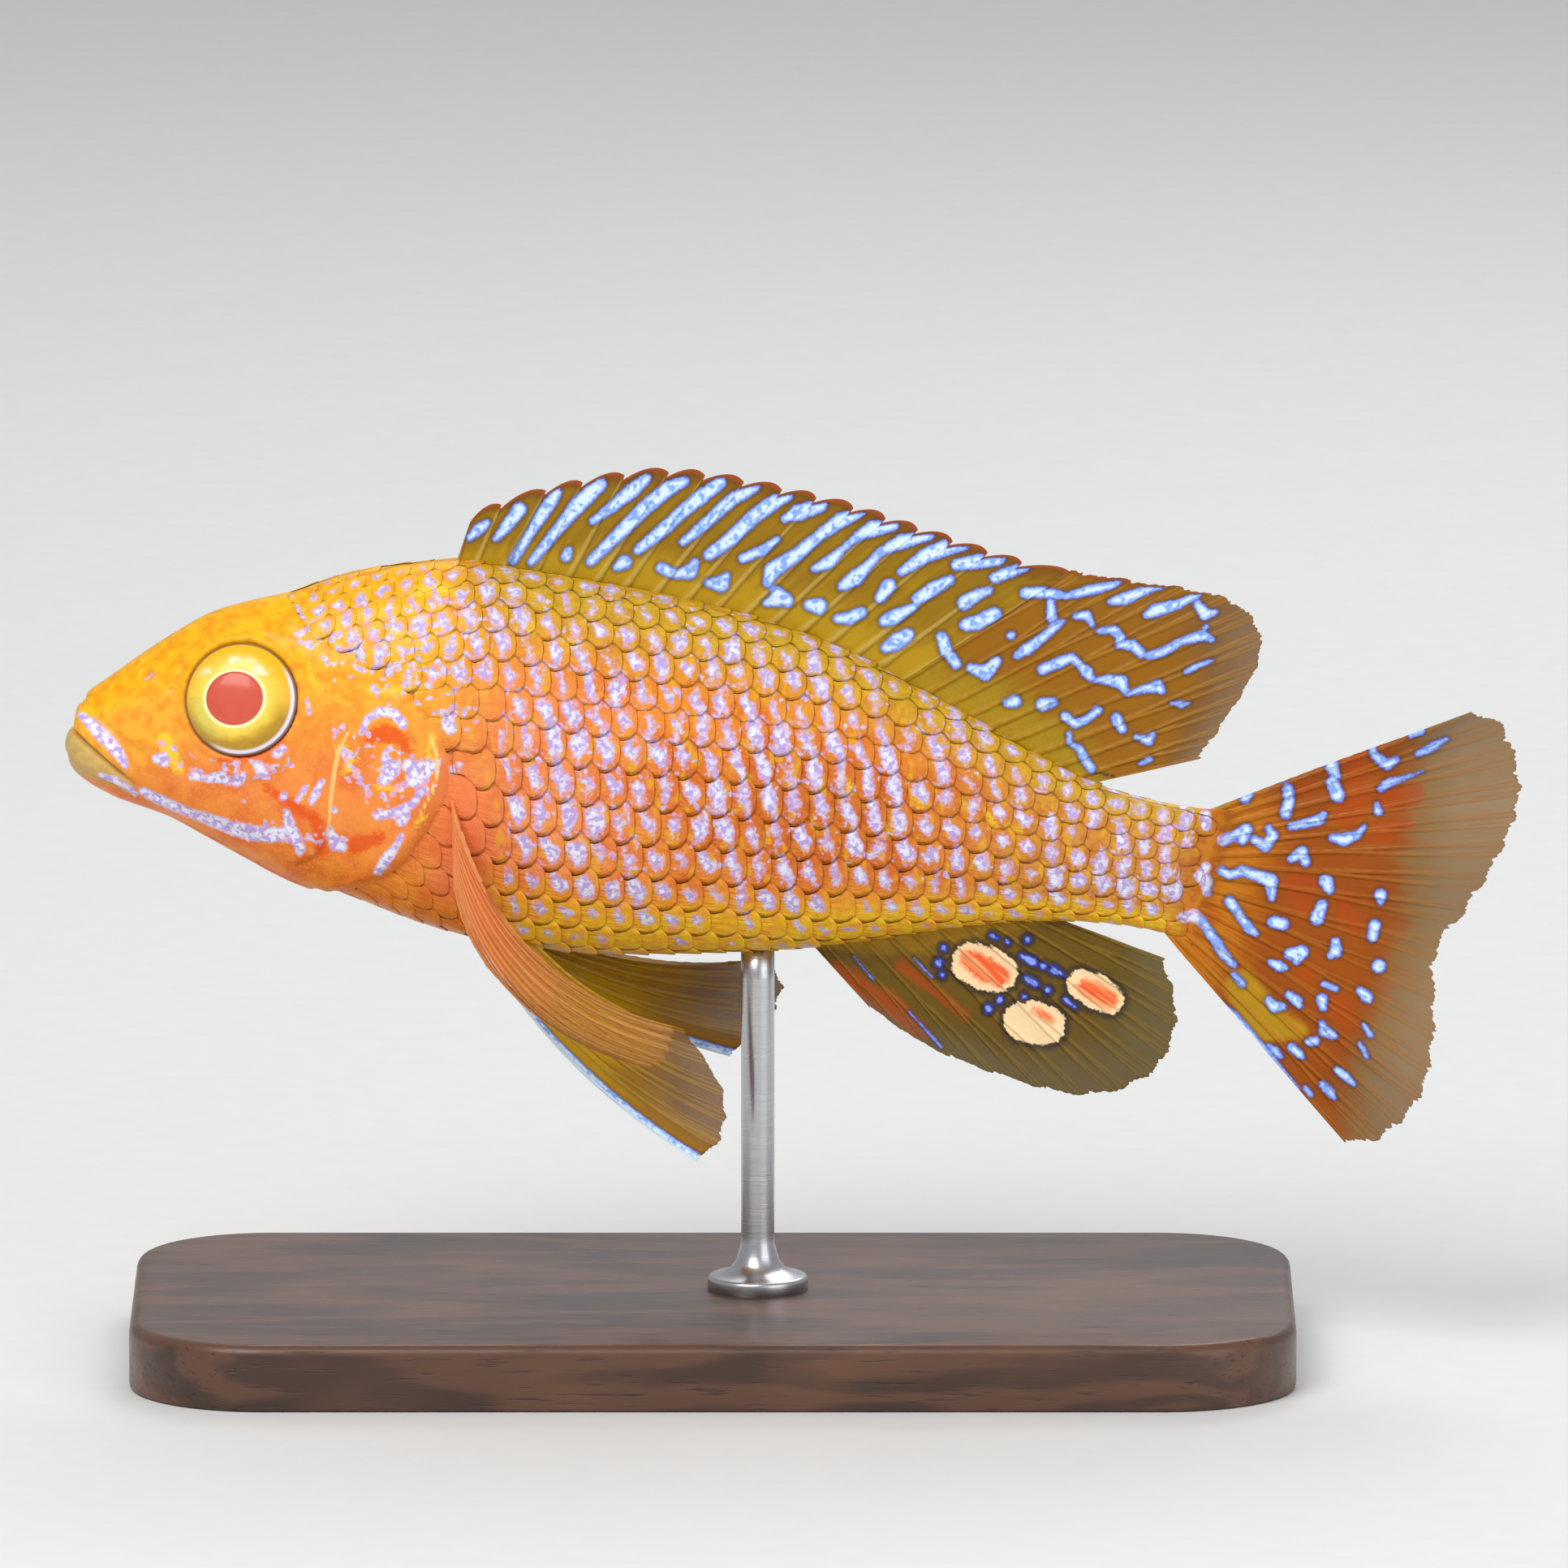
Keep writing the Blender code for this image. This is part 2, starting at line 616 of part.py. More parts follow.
def make_fin(name, rays, roots, tips, parts, bow=0.0, lift=0.0, notch=0.0, ripple=None, body=None):
    """A fin whose rays stand up from its surface as ridges.

    Each ray runs from its root to its tip along a parabola that leaves the straight line by bow
    times its length in the side view, and by lift across the fish. bow is one number or one for
    each ray. The edge between two rays falls back by notch, and ripple gives each ray's swing out
    of the plane, growing with the square of the way along it. A Solidify modifier makes the
    thickness, which a vertex group holds: full on a ray, less on the membrane.
    """
    chord = tips - roots
    length = np.linalg.norm(chord, axis=1, keepdims=True)
    off_ray = np.abs(np.sin(math.pi * rays))[:, None]
    chord = chord * (1 - notch * off_ray / length)
    arch = bow * np.stack([-chord[:, 2], np.zeros(len(rays)), chord[:, 0]], axis=1)
    arch[:, 1] += lift
    wave = np.zeros((len(rays), 3))
    wave[:, 1] = 0 if ripple is None else ripple
    way = np.linspace(0, 1, FIN_ROWS)[:, None, None]
    points = roots + chord * way + arch * 4 * way * (1 - way) + wave * way**2
    ray_share = 1 + (RAY_SHARE_AT_TIP - 1) * way[:, :, 0]
    thickness = np.where(np.isclose(rays, np.round(rays))[None, :], ray_share, MEMBRANE_SHARE)

    mesh, places = fin_sheet(name, points)
    fin = new_piece(name, mesh, parts)
    group = fin.vertex_groups.new(name="thickness")
    for index, where in enumerate(places):
        group.add([index], float(thickness[where]), "REPLACE")
    solid = fin.modifiers.new("thickness", "SOLIDIFY")
    solid.thickness = FIN_THICKNESS * MM
    solid.offset = 0
    solid.vertex_group = group.name
    if body:
        add_boolean(fin, "DIFFERENCE", body)
    return apply_modifiers(fin)


def middle_line(x, z):
    """Points on the swung middle plane."""
    return np.stack([x, swing(x), z], axis=1)


def make_dorsal_fins(body, parts):
    stretches = (
        ("dorsal_fin_spiny", fin_columns(0, SPINE_COUNT - DORSAL_PARTING), SPINE_LAPPET),
        ("dorsal_fin_soft", fin_columns(SPINE_COUNT, DORSAL_TIPS[-1][0]), SOFT_NOTCH),
    )
    for name, rays, notch in stretches:
        x = along(DORSAL_ROOTS, rays)[:, 0]
        roots = middle_line(x, outline_height(x, 0) - FIN_SINK)
        tips = middle_line(*along(DORSAL_TIPS, rays).T)
        make_fin(name, rays, roots, tips, parts, notch=notch, body=body)


def make_anal_fin(body, parts):
    rays = fin_columns(0, ANAL_TIPS[-1][0])
    x = along(ANAL_ROOTS, rays)[:, 0]
    roots = middle_line(x, outline_height(x, math.pi) + FIN_SINK)
    tips = middle_line(*along(ANAL_TIPS, rays).T)
    make_fin("anal_fin", rays, roots, tips, parts, notch=SOFT_NOTCH, body=body)


def make_caudal_fin(parts):
    rays = fin_columns(0, CAUDAL_TIPS[-1][0])
    share = rays / rays[-1]
    top, bottom = shifted([CAUDAL_TOP, CAUDAL_BOTTOM], GAP / 2)
    x, z = (np.interp(share, CAUDAL_ROOT_SPAN, ends) for ends in zip(top, bottom))
    tips = middle_line(*along(CAUDAL_TIPS, rays).T)
    ripple = CAUDAL_RIPPLE * np.sin(2 * math.pi * CAUDAL_WAVES * share)
    make_fin("caudal_fin", rays, middle_line(x, z), tips, parts, notch=SOFT_NOTCH, ripple=ripple)


def make_paired_fins(name, root, tips_left, tips_right, ray_count, bow, lift, body, parts):
    """Pectoral or pelvic fins, their roots sunk in the body and cut clear of it again."""
    rays = fin_columns(0, ray_count - 1)
    share = (rays / rays[-1])[:, None]
    for (side, word), tips in zip(SIDES, (tips_left, tips_right)):
        surface = [flank_point(*end, side) for end in root]
        first, last = np.array([point - normal * PAIRED_FIN_SINK for point, normal in surface])
        ends = along(tips, rays) * np.array([1, side, 1])
        roots = first + (last - first) * share
        bows = bow[0] + (bow[1] - bow[0]) * share
        make_fin(f"{name}_{word}", rays, roots, ends, parts, bows, lift * side, SOFT_NOTCH, body=body)


def make_stand_base(parts):
    height = BASE_SIZE[2]
    shape = bmesh.new()
    bmesh.ops.create_cube(shape, size=1.0)
    bmesh.ops.scale(shape, vec=Vector(BASE_SIZE) * MM, verts=shape.verts)
    bmesh.ops.translate(shape, vec=(BASE_CENTRE_X * MM, 0, height / 2 * MM), verts=shape.verts)
    upright = [edge for edge in shape.edges if edge.verts[0].co.xy == edge.verts[1].co.xy]
    bmesh.ops.bevel(shape, geom=upright, offset=BASE_CORNER * MM, segments=6, profile=0.5, affect="EDGES")
    mesh = bpy.data.meshes.new("stand_base")
    shape.to_mesh(mesh)
    shape.free()
    base = new_piece("stand_base", mesh, parts)
    edge = base.modifiers.new("edge", "BEVEL")
    edge.width = BASE_EDGE * MM
    edge.segments = 2
    edge.limit_method = "ANGLE"
    edge.angle_limit = math.radians(60)


def make_stand_rod(parts):
    """A turned rod with a spread foot, from just over the base to just under the belly."""
    foot = BASE_SIZE[2] + GAP
    top = AXIS_HEIGHT + float(outline_height(ROD_X, math.pi)) - GAP
    profile = [(0.0, top), (ROD_RADIUS - ROD_TIP_EDGE, top), (ROD_RADIUS, top - ROD_TIP_EDGE)]
    profile += [(ROD_RADIUS + out, foot + up) for out, up in ROD_FOOT]
    profile.append((0.0, foot))
    line = bpy.data.meshes.new("stand_rod")
    edges = [(i, i + 1) for i in range(len(profile) - 1)]
    line.from_pydata([(r * MM, 0, z * MM) for r, z in profile], edges, [])
    rod = new_piece("stand_rod", line, parts)
    rod.location = (ROD_X * MM, 0, 0)
    turn = rod.modifiers.new("turn", "SCREW")
    turn.steps = turn.render_steps = ROD_SIDES
    turn.use_merge_vertices = True
    turn.merge_threshold = 0.00001


def main():
    clear_scene()
    parts = new_collection("peacock_cichlid")
    cutters = new_collection("cutters", shown=False)
    whole = whole_body(cutters)
    make_body_parts(whole, cutters, parts)
    make_eyes(parts)

    grown = place(bpy.data.objects.new("grown_body", whole.data.copy()), cutters)
    swell = grown.modifiers.new("gap", "DISPLACE")
    swell.strength = GAP * MM
    swell.mid_level = 0
    make_dorsal_fins(grown, parts)
    make_anal_fin(grown, parts)
    make_caudal_fin(parts)
    pelvic = PELVIC_TIPS_LEFT, PELVIC_TIPS_RIGHT, PELVIC_RAYS, PELVIC_BOW, PELVIC_LIFT
    make_paired_fins("pelvic_fin", PELVIC_ROOT, *pelvic, grown, parts)
    pectoral = PECTORAL_TIPS_LEFT, PECTORAL_TIPS_RIGHT, PECTORAL_RAYS, PECTORAL_BOW, PECTORAL_LIFT
    make_paired_fins("pectoral_fin", PECTORAL_ROOT, *pectoral, grown, parts)
    make_stand_base(parts)
    make_stand_rod(parts)


main()
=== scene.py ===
# %% [markdown]
# # A peacock cichlid, life size, on a display stand
# A museum's fish model is a cast that is painted and varnished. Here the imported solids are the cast:
# they say where every part is and how big it is. This script makes the surfaces that are looked at:
# one skin over the whole body, scales laid on it like roof tiles, fins with branching rays, glassy
# eyes, and a walnut base with a steel rod.
# Sizes are in millimetres of the fish. Its heights are measured from a level AXIS_HEIGHT over the
# floor, its head points to -X and its left flank to -Y.

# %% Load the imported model
import math

import bpy
import numpy as np
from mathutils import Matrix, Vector


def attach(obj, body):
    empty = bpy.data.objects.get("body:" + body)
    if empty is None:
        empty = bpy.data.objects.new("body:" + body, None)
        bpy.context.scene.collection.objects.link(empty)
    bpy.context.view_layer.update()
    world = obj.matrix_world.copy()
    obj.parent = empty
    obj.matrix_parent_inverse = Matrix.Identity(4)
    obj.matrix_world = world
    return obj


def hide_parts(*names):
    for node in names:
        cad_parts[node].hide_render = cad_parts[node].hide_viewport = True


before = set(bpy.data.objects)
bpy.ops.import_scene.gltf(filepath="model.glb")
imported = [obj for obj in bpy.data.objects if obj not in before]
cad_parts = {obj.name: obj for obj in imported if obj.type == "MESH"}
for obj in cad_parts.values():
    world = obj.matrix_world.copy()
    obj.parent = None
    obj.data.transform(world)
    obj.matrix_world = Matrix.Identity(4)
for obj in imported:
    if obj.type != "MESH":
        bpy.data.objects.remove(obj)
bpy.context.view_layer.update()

# %% [markdown]
# ## The photo's frame
# The fish was photographed from its left, from a little above. The photo's pixels are a good ruler
# for markings, so two numbers tie them to the fish: the pixel where x and height are 0, and the
# size of a pixel. The camera then only has to stand far off, ten degrees up, with a long lens.

# %% Scale and camera
MM = 0.001
AXIS_HEIGHT = 42.0
PHOTO_SCALE = 0.0725
PHOTO_AXIS = (975.0, 1100.0)
PHOTO_WIDTH = 1932
ELEVATION = math.radians(10.0)
CAMERA_DISTANCE = 2.4
CAMERA_NEAR = 0.01
SENSOR = 36.0


def aimed(name, data, place, target):
    """An object at a place in metres, turned so that it looks at a target."""
    made = bpy.data.objects.new(name, data)
    made.location = place
    made.rotation_euler = (Vector(target) - Vector(place)).to_track_quat("-Z", "Y").to_euler()
    bpy.context.scene.collection.objects.link(made)
    return made


view_x = (PHOTO_WIDTH / 2 - PHOTO_AXIS[0]) * PHOTO_SCALE
view_height = (PHOTO_AXIS[1] - PHOTO_WIDTH / 2) * PHOTO_SCALE / math.cos(ELEVATION)
target = Vector((view_x, 0, view_height + AXIS_HEIGHT)) * MM
back = Vector((0, -math.cos(ELEVATION), math.sin(ELEVATION)))
lens = bpy.data.cameras.new("camera")
lens.sensor_width = SENSOR
lens.lens = SENSOR * CAMERA_DISTANCE / (PHOTO_WIDTH * PHOTO_SCALE * MM)
lens.clip_start = CAMERA_NEAR
bpy.context.scene.camera = aimed("camera", lens, target + back * CAMERA_DISTANCE, target)
print("lens in mm:", round(lens.lens, 1))

# %% [markdown]
# ## Light
# Soft boxes round the model give long, quiet highlights on the varnish. The strongest stands high on
# the head's side, as the light in the photo does, and a pale world fills the shadows.

# %% Soft boxes and world
SOFT_BOXES = [
    ("key", (-0.28, -0.50, 0.62), 0.42, 4.1, (1.0, 0.98, 0.95)),
    ("fill", (0.55, -0.55, 0.25), 0.60, 1.7, (0.95, 0.98, 1.0)),
    ("rim", (0.15, 0.50, 0.60), 0.50, 2.2, (1.0, 1.0, 1.0)),
]
WORLD_COLOUR, WORLD_STRENGTH = (0.92, 0.95, 1.0, 1), 0.45
for name, place, size, watts, colour in SOFT_BOXES:
    light = bpy.data.lights.new(name, "AREA")
    light.size = size
    light.energy = watts
    light.color = colour
    aimed(name, light, place, (0, 0, AXIS_HEIGHT * MM)).visible_camera = False
world = bpy.data.worlds.new("studio")
world.use_nodes = True
backdrop = world.node_tree.nodes["Background"]
backdrop.inputs["Color"].default_value = WORLD_COLOUR
backdrop.inputs["Strength"].default_value = WORLD_STRENGTH
bpy.context.scene.world = world
bpy.context.scene.view_settings.view_transform = "Standard"
print("soft boxes:", len(SOFT_BOXES))

# %% [markdown]
# ## Materials as arithmetic
# A material is a graph of nodes. Written node by node it is long and hard to read, so a Socket
# stands for one node's output and knows how to add, subtract, multiply and divide: 1 - mask * 0.5
# is then two Math nodes. A Finish is one material. Its node method adds any other node, and the short
# methods after it are named for what a painter does.


# %% Sockets and finishes
class Socket:
    """A node's output. Arithmetic on it adds Math nodes."""

    def __init__(self, finish, output):
        self.finish, self.output = finish, output

    def __add__(self, other):
        return self.finish.math("ADD", self, other)

    def __sub__(self, other):
        return self.finish.math("SUBTRACT", self, other)

    def __rsub__(self, other):
        return self.finish.math("SUBTRACT", other, self)

    def __mul__(self, other):
        return self.finish.math("MULTIPLY", self, other)

    __radd__ = __add__
    __rmul__ = __mul__


class Finish:
    """A material's graph round its Principled shader."""

    def __init__(self, name, **constants):
        self.material = bpy.data.materials.new(name)
        self.material.use_nodes = True
        self.tree = self.material.node_tree
        self.shader = self.tree.nodes["Principled BSDF"]
        self.shade(**constants)
        place = self.node("ShaderNodeTexCoord", {}, {}, "Object")
        self.place = self.node("ShaderNodeVectorMath", {"operation": "SCALE"}, {0: place, "Scale": 1 / MM})

    def node(self, kind, settings, sockets, output=0):
        """Any node: its type, its settings, the values or links of its sockets, and which output."""
        made = self.tree.nodes.new(kind)
        for name, value in settings.items():
            setattr(made, name, value)
        for key, value in sockets.items():
            self.feed(made.inputs[key], value)
        return Socket(self, made.outputs[output])

    def feed(self, socket, value):
        """Links a Socket to an input, or sets the input to a plain value."""
        if isinstance(value, Socket):
            self.tree.links.new(value.output, socket)
        else:
            socket.default_value = value

    def shade(self, **sockets):
        """Feeds the shader's own sockets, named with _ for a space."""
        for name, value in sockets.items():
            self.feed(self.shader.inputs[name.replace("_", " ")], value)

    def math(self, operation, *terms):
        """One Math node over its terms."""
        return self.node("ShaderNodeMath", {"operation": operation}, dict(enumerate(terms)))

    def larger(self, first, second):
        """The larger of two values."""
        return self.math("MAXIMUM", first, second)

    def mix(self, factor, first, second):
        """The first colour where factor is 0 and the second where it is 1."""
        return self.node("ShaderNodeMix", {"data_type": "RGBA"}, {0: factor, 6: first, 7: second}, 2)

    def mottle(self, cloud, low, high, first, second):
        """The first paint where cloud is below low, and the second above high."""
        return self.mix(self.rise(cloud, low, high), srgb(*first), srgb(*second))

    def layers(self, colour, coats):
        """Lays coats over a ground colour in their order. Each is its share and its colour."""
        for share, paint in coats:
            colour = self.mix(share, colour, paint)
        return colour

    def rise(self, value, low, high):
        """0 where value is below low, 1 above high, and a smooth step between."""
        ends = {"Value": value, "From Min": low, "From Max": high}
        return self.node("ShaderNodeMapRange", {"interpolation_type": "SMOOTHSTEP"}, ends)

    def noise(self, size, detail=2.0, stretch=(1, 1, 1)):
        """Cloudy values round 0.5 with lumps of about size mm, drawn out by stretch."""
        scale = tuple(1 / (size * s) for s in stretch)
        place = self.node("ShaderNodeVectorMath", {"operation": "MULTIPLY"}, {0: self.place, 1: scale})
        return self.node("ShaderNodeTexNoise", {}, {"Vector": place, "Scale": 1.0, "Detail": detail})

    def value(self, name):
        """A number that the piece holds at each point."""
        return self.node("ShaderNodeAttribute", {"attribute_name": name}, {}, "Fac")

    def bump(self, height, depth):
        """A normal for the shader, from a relief whose height of 0 to 1 stands for depth mm."""
        return self.node("ShaderNodeBump", {}, {"Height": height, "Distance": depth * MM, "Strength": 1.0})


def srgb(red, green, blue):
    """A colour as a painter reads it off a screen, 0 to 255, turned into light."""
    share = np.array([red, green, blue]) / 255
    light = np.where(share <= 0.04045, share / 12.92, ((share + 0.055) / 1.055) ** 2.4)
    return (*light.tolist(), 1.0)


print("white is", srgb(255, 255, 255))

# %% [markdown]
# ## Pieces from arrays
# Each new piece is a grid of points worked out as one array. The faces follow from the grid's order.
# A closed shape must have its faces pointing outwards, and its volume tells: it comes out negative
# when the shape is inside out, and then every face is turned round.


# %% Grids, tubes and sheets
def grid_faces(rows, columns, closed=False):
    """The quads of a grid numbered row by row. closed joins the last column to the first."""
    row = np.arange(rows - 1)[:, None] * columns
    column = np.arange(columns if closed else columns - 1)[None, :]
    after = (column + 1) % columns
    corners = row + column, row + after, row + columns + after, row + columns + column
    return np.stack(corners, axis=-1).reshape(-1, 4)


def tube_faces(rows, columns):
    """Quads between a tube's rings and a fan at each end, round two poles that come last."""
    column = np.arange(columns)
    after = (column + 1) % columns
    first, last = np.full(columns, rows * columns), np.full(columns, rows * columns + 1)
    start = np.stack([first, after, column], axis=1)
    end = np.stack([last, column, after], axis=1)
    end[:, 1:] += (rows - 1) * columns
    return [grid_faces(rows, columns, closed=True), np.concatenate([start, end])]


def sheet_faces(rows, columns):
    """A sheet with two faces: the front's quads, the back's the other way round, and the rim's."""
    front = grid_faces(rows, columns)
    place = np.arange(rows * columns).reshape(rows, columns)
    edge = np.concatenate([place[0, :-1], place[:-1, -1], place[-1, :0:-1], place[:0:-1, 0]])
    after = np.roll(edge, -1)
    behind = rows * columns
    rim = np.stack([after, edge, edge + behind, after + behind], axis=1)
    return [front, front[:, ::-1] + behind, rim]


def volume(points, faces):
    """Six times the signed volume: the triple product of each triangle's corners, summed."""
    total = 0.0
    for group in faces:
        for k in range(1, group.shape[1] - 1):
            a, b, c = points[group[:, 0]], points[group[:, k]], points[group[:, k + 1]]
            total += np.einsum("ij,ij->", a, np.cross(b, c))
    return total


print("a sheet of 2 by 2 points has", sum(map(len, sheet_faces(2, 2))), "faces")

# %% [markdown]
# An array becomes a shown piece when it is put into a mesh with its finish and with the numbers that
# the finish reads, and is told which body it rides on and which solids it stands for.


# %% A shown piece
def new_piece(name, points, faces, finish, slot, nodes=(), values=None, patches=None, lift=AXIS_HEIGHT):
    """A shown piece: its points in mm, its faces, its finish, the solids it stands for, and the
    numbers that it holds at its points. patches are the points' places on the coat's map."""
    if volume(points, faces) < 0:
        faces = [group[:, ::-1] for group in faces]
    mesh = bpy.data.meshes.new(name)
    mesh.vertices.add(len(points))
    mesh.vertices.foreach_set("co", ((points + np.array([0, 0, lift])) * MM).ravel())
    corners = np.concatenate([group.ravel() for group in faces])
    sizes = np.concatenate([np.full(len(group), group.shape[1]) for group in faces])
    mesh.loops.add(len(corners))
    mesh.loops.foreach_set("vertex_index", corners)
    mesh.polygons.add(len(sizes))
    mesh.polygons.foreach_set("loop_start", np.cumsum(sizes) - sizes)
    mesh.update(calc_edges=True)
    mesh.shade_smooth()
    for key, numbers in (values or {}).items():
        held = mesh.attributes.new(key, "FLOAT", "POINT")
        held.data.foreach_set("value", np.broadcast_to(numbers, len(points)).astype(np.float32))
    if patches is not None:
        coat_map = mesh.uv_layers.new(name="OFBake")
        coat_map.data.foreach_set("uv", patches[corners].astype(np.float32).ravel())
    mesh.materials.append(finish.material)
    piece = bpy.data.objects.new(name, mesh)
    bpy.context.scene.collection.objects.link(piece)
    if slot is None:
        return piece
    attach(piece, "root")
    if nodes:
        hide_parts(*nodes)
    print(f"{name}: {int((sizes - 2).sum())} triangles")
    return piece


def step(value, low, high):
    """0 where value is at low, 1 at high, and a smooth step between. low may be the larger."""
    share = np.clip((value - low) / (high - low), 0, 1)
    return share * share * (3 - 2 * share)


def blunted(value, power):
    """The value raised to a power, with its sign kept."""
    return np.sign(value) * np.abs(value) ** power


def with_poles(grid):
    """A tube's numbers in one row, and those of its first and last ring again for the two poles."""
    return np.append(grid.ravel(), [grid[0, 0], grid[-1, 0]])


print("a tube of 3 rings with 8 sides has", sum(map(len, tube_faces(3, 8))), "faces")

# %% [markdown]
# ## The floor
# A plain pale sheet, large enough that the camera never looks past it.

# %% Floor
FLOOR_SIZE = 9000.0
paper = Finish("pale paper", Roughness=0.7)
paper.shade(Base_Color=paper.mix(paper.noise(3.0, 4.0), srgb(226, 226, 224), srgb(232, 232, 230)))
corner = np.array([[-1, -1, 0], [1, -1, 0], [1, 1, 0], [-1, 1, 0]]) * FLOOR_SIZE / 2
new_piece("floor", corner, [np.array([[0, 1, 2, 3]])], paper, None, lift=0.0)
print("floor:", FLOOR_SIZE * MM, "m across")

# %% [markdown]
# ## The body's form
# The body is a tube round a backbone: at each station along the fish it has a height of the back,
# a height of the underside and a half width, and a curve runs smoothly through the stations. From
# the trunk on, the tail swings towards the left flank. These are the cast's own sizes.

# %% Stations from snout to tail
BODY_RINGS = np.array([
    (-64.3, 14.2, -64.3, 14.2, 0.0),
    (-63.6, 15.9, -64.7, 12.4, 1.6),
    (-63.4, 17.0, -64.1, 11.2, 2.5),
    (-62.8, 18.2, -62.8, 10.1, 3.2),
    (-61.0, 19.5, -61.0, 9.0, 3.8),
    (-58.5, 21.3, -58.5, 8.1, 4.5),
    (-55.5, 23.3, -55.5, 7.0, 5.3),
    (-52.0, 25.3, -52.0, 5.2, 6.1),
    (-48.5, 26.4, -48.5, 3.3, 6.8),
    (-45.0, 27.2, -45.0, 1.8, 7.4),
    (-41.5, 28.4, -41.5, 0.6, 7.9),
    (-38.0, 29.3, -38.0, -0.7, 8.2),
    (-34.0, 29.9, -34.0, -2.3, 8.5),
    (-29.0, 30.2, -29.0, -3.8, 8.7),
    (-24.0, 29.5, -24.0, -4.7, 8.7),
    (-18.5, 28.6, -18.5, -5.4, 8.7),
    (-12.5, 27.4, -12.5, -5.5, 8.4),
    (-6.0, 25.9, -6.0, -5.3, 7.9),
    (0.5, 24.0, 0.0, -5.0, 7.1),
    (6.0, 21.7, 5.0, -4.4, 6.2),
    (11.0, 19.1, 9.5, -3.7, 5.3),
    (16.5, 16.1, 14.5, -2.9, 4.4),
    (22.0, 13.0, 19.5, -2.3, 3.6),
    (27.5, 10.4, 25.0, -2.1, 2.9),
    (32.5, 9.1, 30.0, -2.4, 2.3),
    (36.5, 8.55, 33.7, -3.1, 1.8),
    (40.0, 8.3, 37.0, -4.3, 1.4),
    (42.0, 6.5, 40.5, -2.5, 0.8),
    (42.5, 2.0, 42.5, 2.0, 0.0),
])
LAST_RING = len(BODY_RINGS) - 1
SECTION_POWER = 0.92
HEAD_TAPER = 0.16
HEAD_TAPER_FROM, HEAD_TAPER_TO = -28.0, -48.0
SWING_FROM, SWING_TO = -12.0, 38.0
SWING = 4.5
CURL_BACK = 0.0055
CAUDAL_TOP, CAUDAL_BOTTOM = (38.3, 9.3), (35.0, -4.3)
SMALL = 0.01
print("stations:", len(BODY_RINGS))

# %% [markdown]
# A Catmull-Rom curve passes through every station without a corner, because it leaves each one in
# the direction from the station before to the station after.


# %% Curves and the plain body
def smooth_through(knots, at):
    """A Catmull-Rom curve through the rows of knots, read at positions counted in rows."""
    knots = np.asarray(knots, float)
    last = len(knots) - 1
    at = np.clip(np.asarray(at, float), 0, last)
    row = np.minimum(at.astype(int), last - 1)
    t = (at - row)[..., None]
    a, b = knots[np.maximum(row - 1, 0)], knots[row]
    c, d = knots[row + 1], knots[np.minimum(row + 2, last)]
    return b + 0.5 * t * (c - a + t * (2 * a - 5 * b + 4 * c - d + t * (3 * b - a - 3 * c + d)))


def along(keyed_knots, key):
    """The smooth curve through rows that start with a key, such as a ray's number, read at key."""
    table = np.asarray(keyed_knots, float)
    return smooth_through(table[:, 1:], np.interp(key, table[:, 0], np.arange(len(table))))


def swing(x):
    """How far the middle plane has swung at x: level, then a parabola, then a line that curls back."""
    share = np.clip((x - SWING_FROM) / (SWING_TO - SWING_FROM), 0, 1)
    past = np.maximum(x - SWING_TO, 0)
    return -SWING * share**2 - 2 * SWING / (SWING_TO - SWING_FROM) * past + CURL_BACK * past**2


def body_point(ring, angle):
    """A point on the plain body. ring counts the stations and angle is 0 on the back, pi below.

    The section is an ellipse whose sine is raised to a power a little under 1, which fills it out.
    On the head it is narrower above than below. The half width is laid off square to the swing.
    """
    x_top, z_top, x_low, z_low, half_width = np.moveaxis(smooth_through(BODY_RINGS, ring), -1, 0)
    up = (1 + np.cos(angle)) / 2
    x = x_low + (x_top - x_low) * up
    z = z_low + (z_top - z_low) * up
    taper = np.clip((x - HEAD_TAPER_FROM) / (HEAD_TAPER_TO - HEAD_TAPER_FROM), 0, 1)
    side = blunted(np.sin(angle), SECTION_POWER)
    across = np.maximum(half_width, 0) * side * (1 - HEAD_TAPER * taper * np.cos(angle))
    slope = (swing(x + SMALL) - swing(x - SMALL)) / (2 * SMALL)
    length = np.sqrt(1 + slope**2)
    return np.stack([x - across * slope / length, swing(x) + across / length, z], axis=-1)


def unit(vectors):
    """The vectors, each brought to length 1."""
    return vectors / np.maximum(np.linalg.norm(vectors, axis=-1, keepdims=True), 1e-12)


def body_normal(ring, angle):
    """The outward unit normal: the cross product of a small step along the body and one round it."""
    ahead = body_point(np.minimum(ring + SMALL, LAST_RING), angle)
    behind = body_point(np.maximum(ring - SMALL, 0), angle)
    return unit(np.cross(ahead - behind, body_point(ring, angle + SMALL) - body_point(ring, angle - SMALL)))


def outline_height(x, angle):
    """The body's height at x along its back (angle 0) or its underside (angle pi)."""
    line = body_point(np.linspace(1, LAST_RING - 2, 400), np.full(400, float(angle)))
    return np.interp(x, line[:, 0], line[:, 2])


def flank_point(x, z, side):
    """The body's surface at x and height z on the left (side -1) or the right (1), and its normal."""
    rings, angles = np.linspace(1, LAST_RING - 2, 300), side * np.linspace(0.05, math.pi - 0.05, 200)
    grid = body_point(rings[:, None], angles[None, :])
    i, j = np.unravel_index(np.argmin((grid[..., 0] - x) ** 2 + (grid[..., 2] - z) ** 2), grid.shape[:2])
    return grid[i, j], body_normal(rings[i], angles[j])


print("body from", BODY_RINGS[0, 0], "to", BODY_RINGS[-1, 0], "mm")

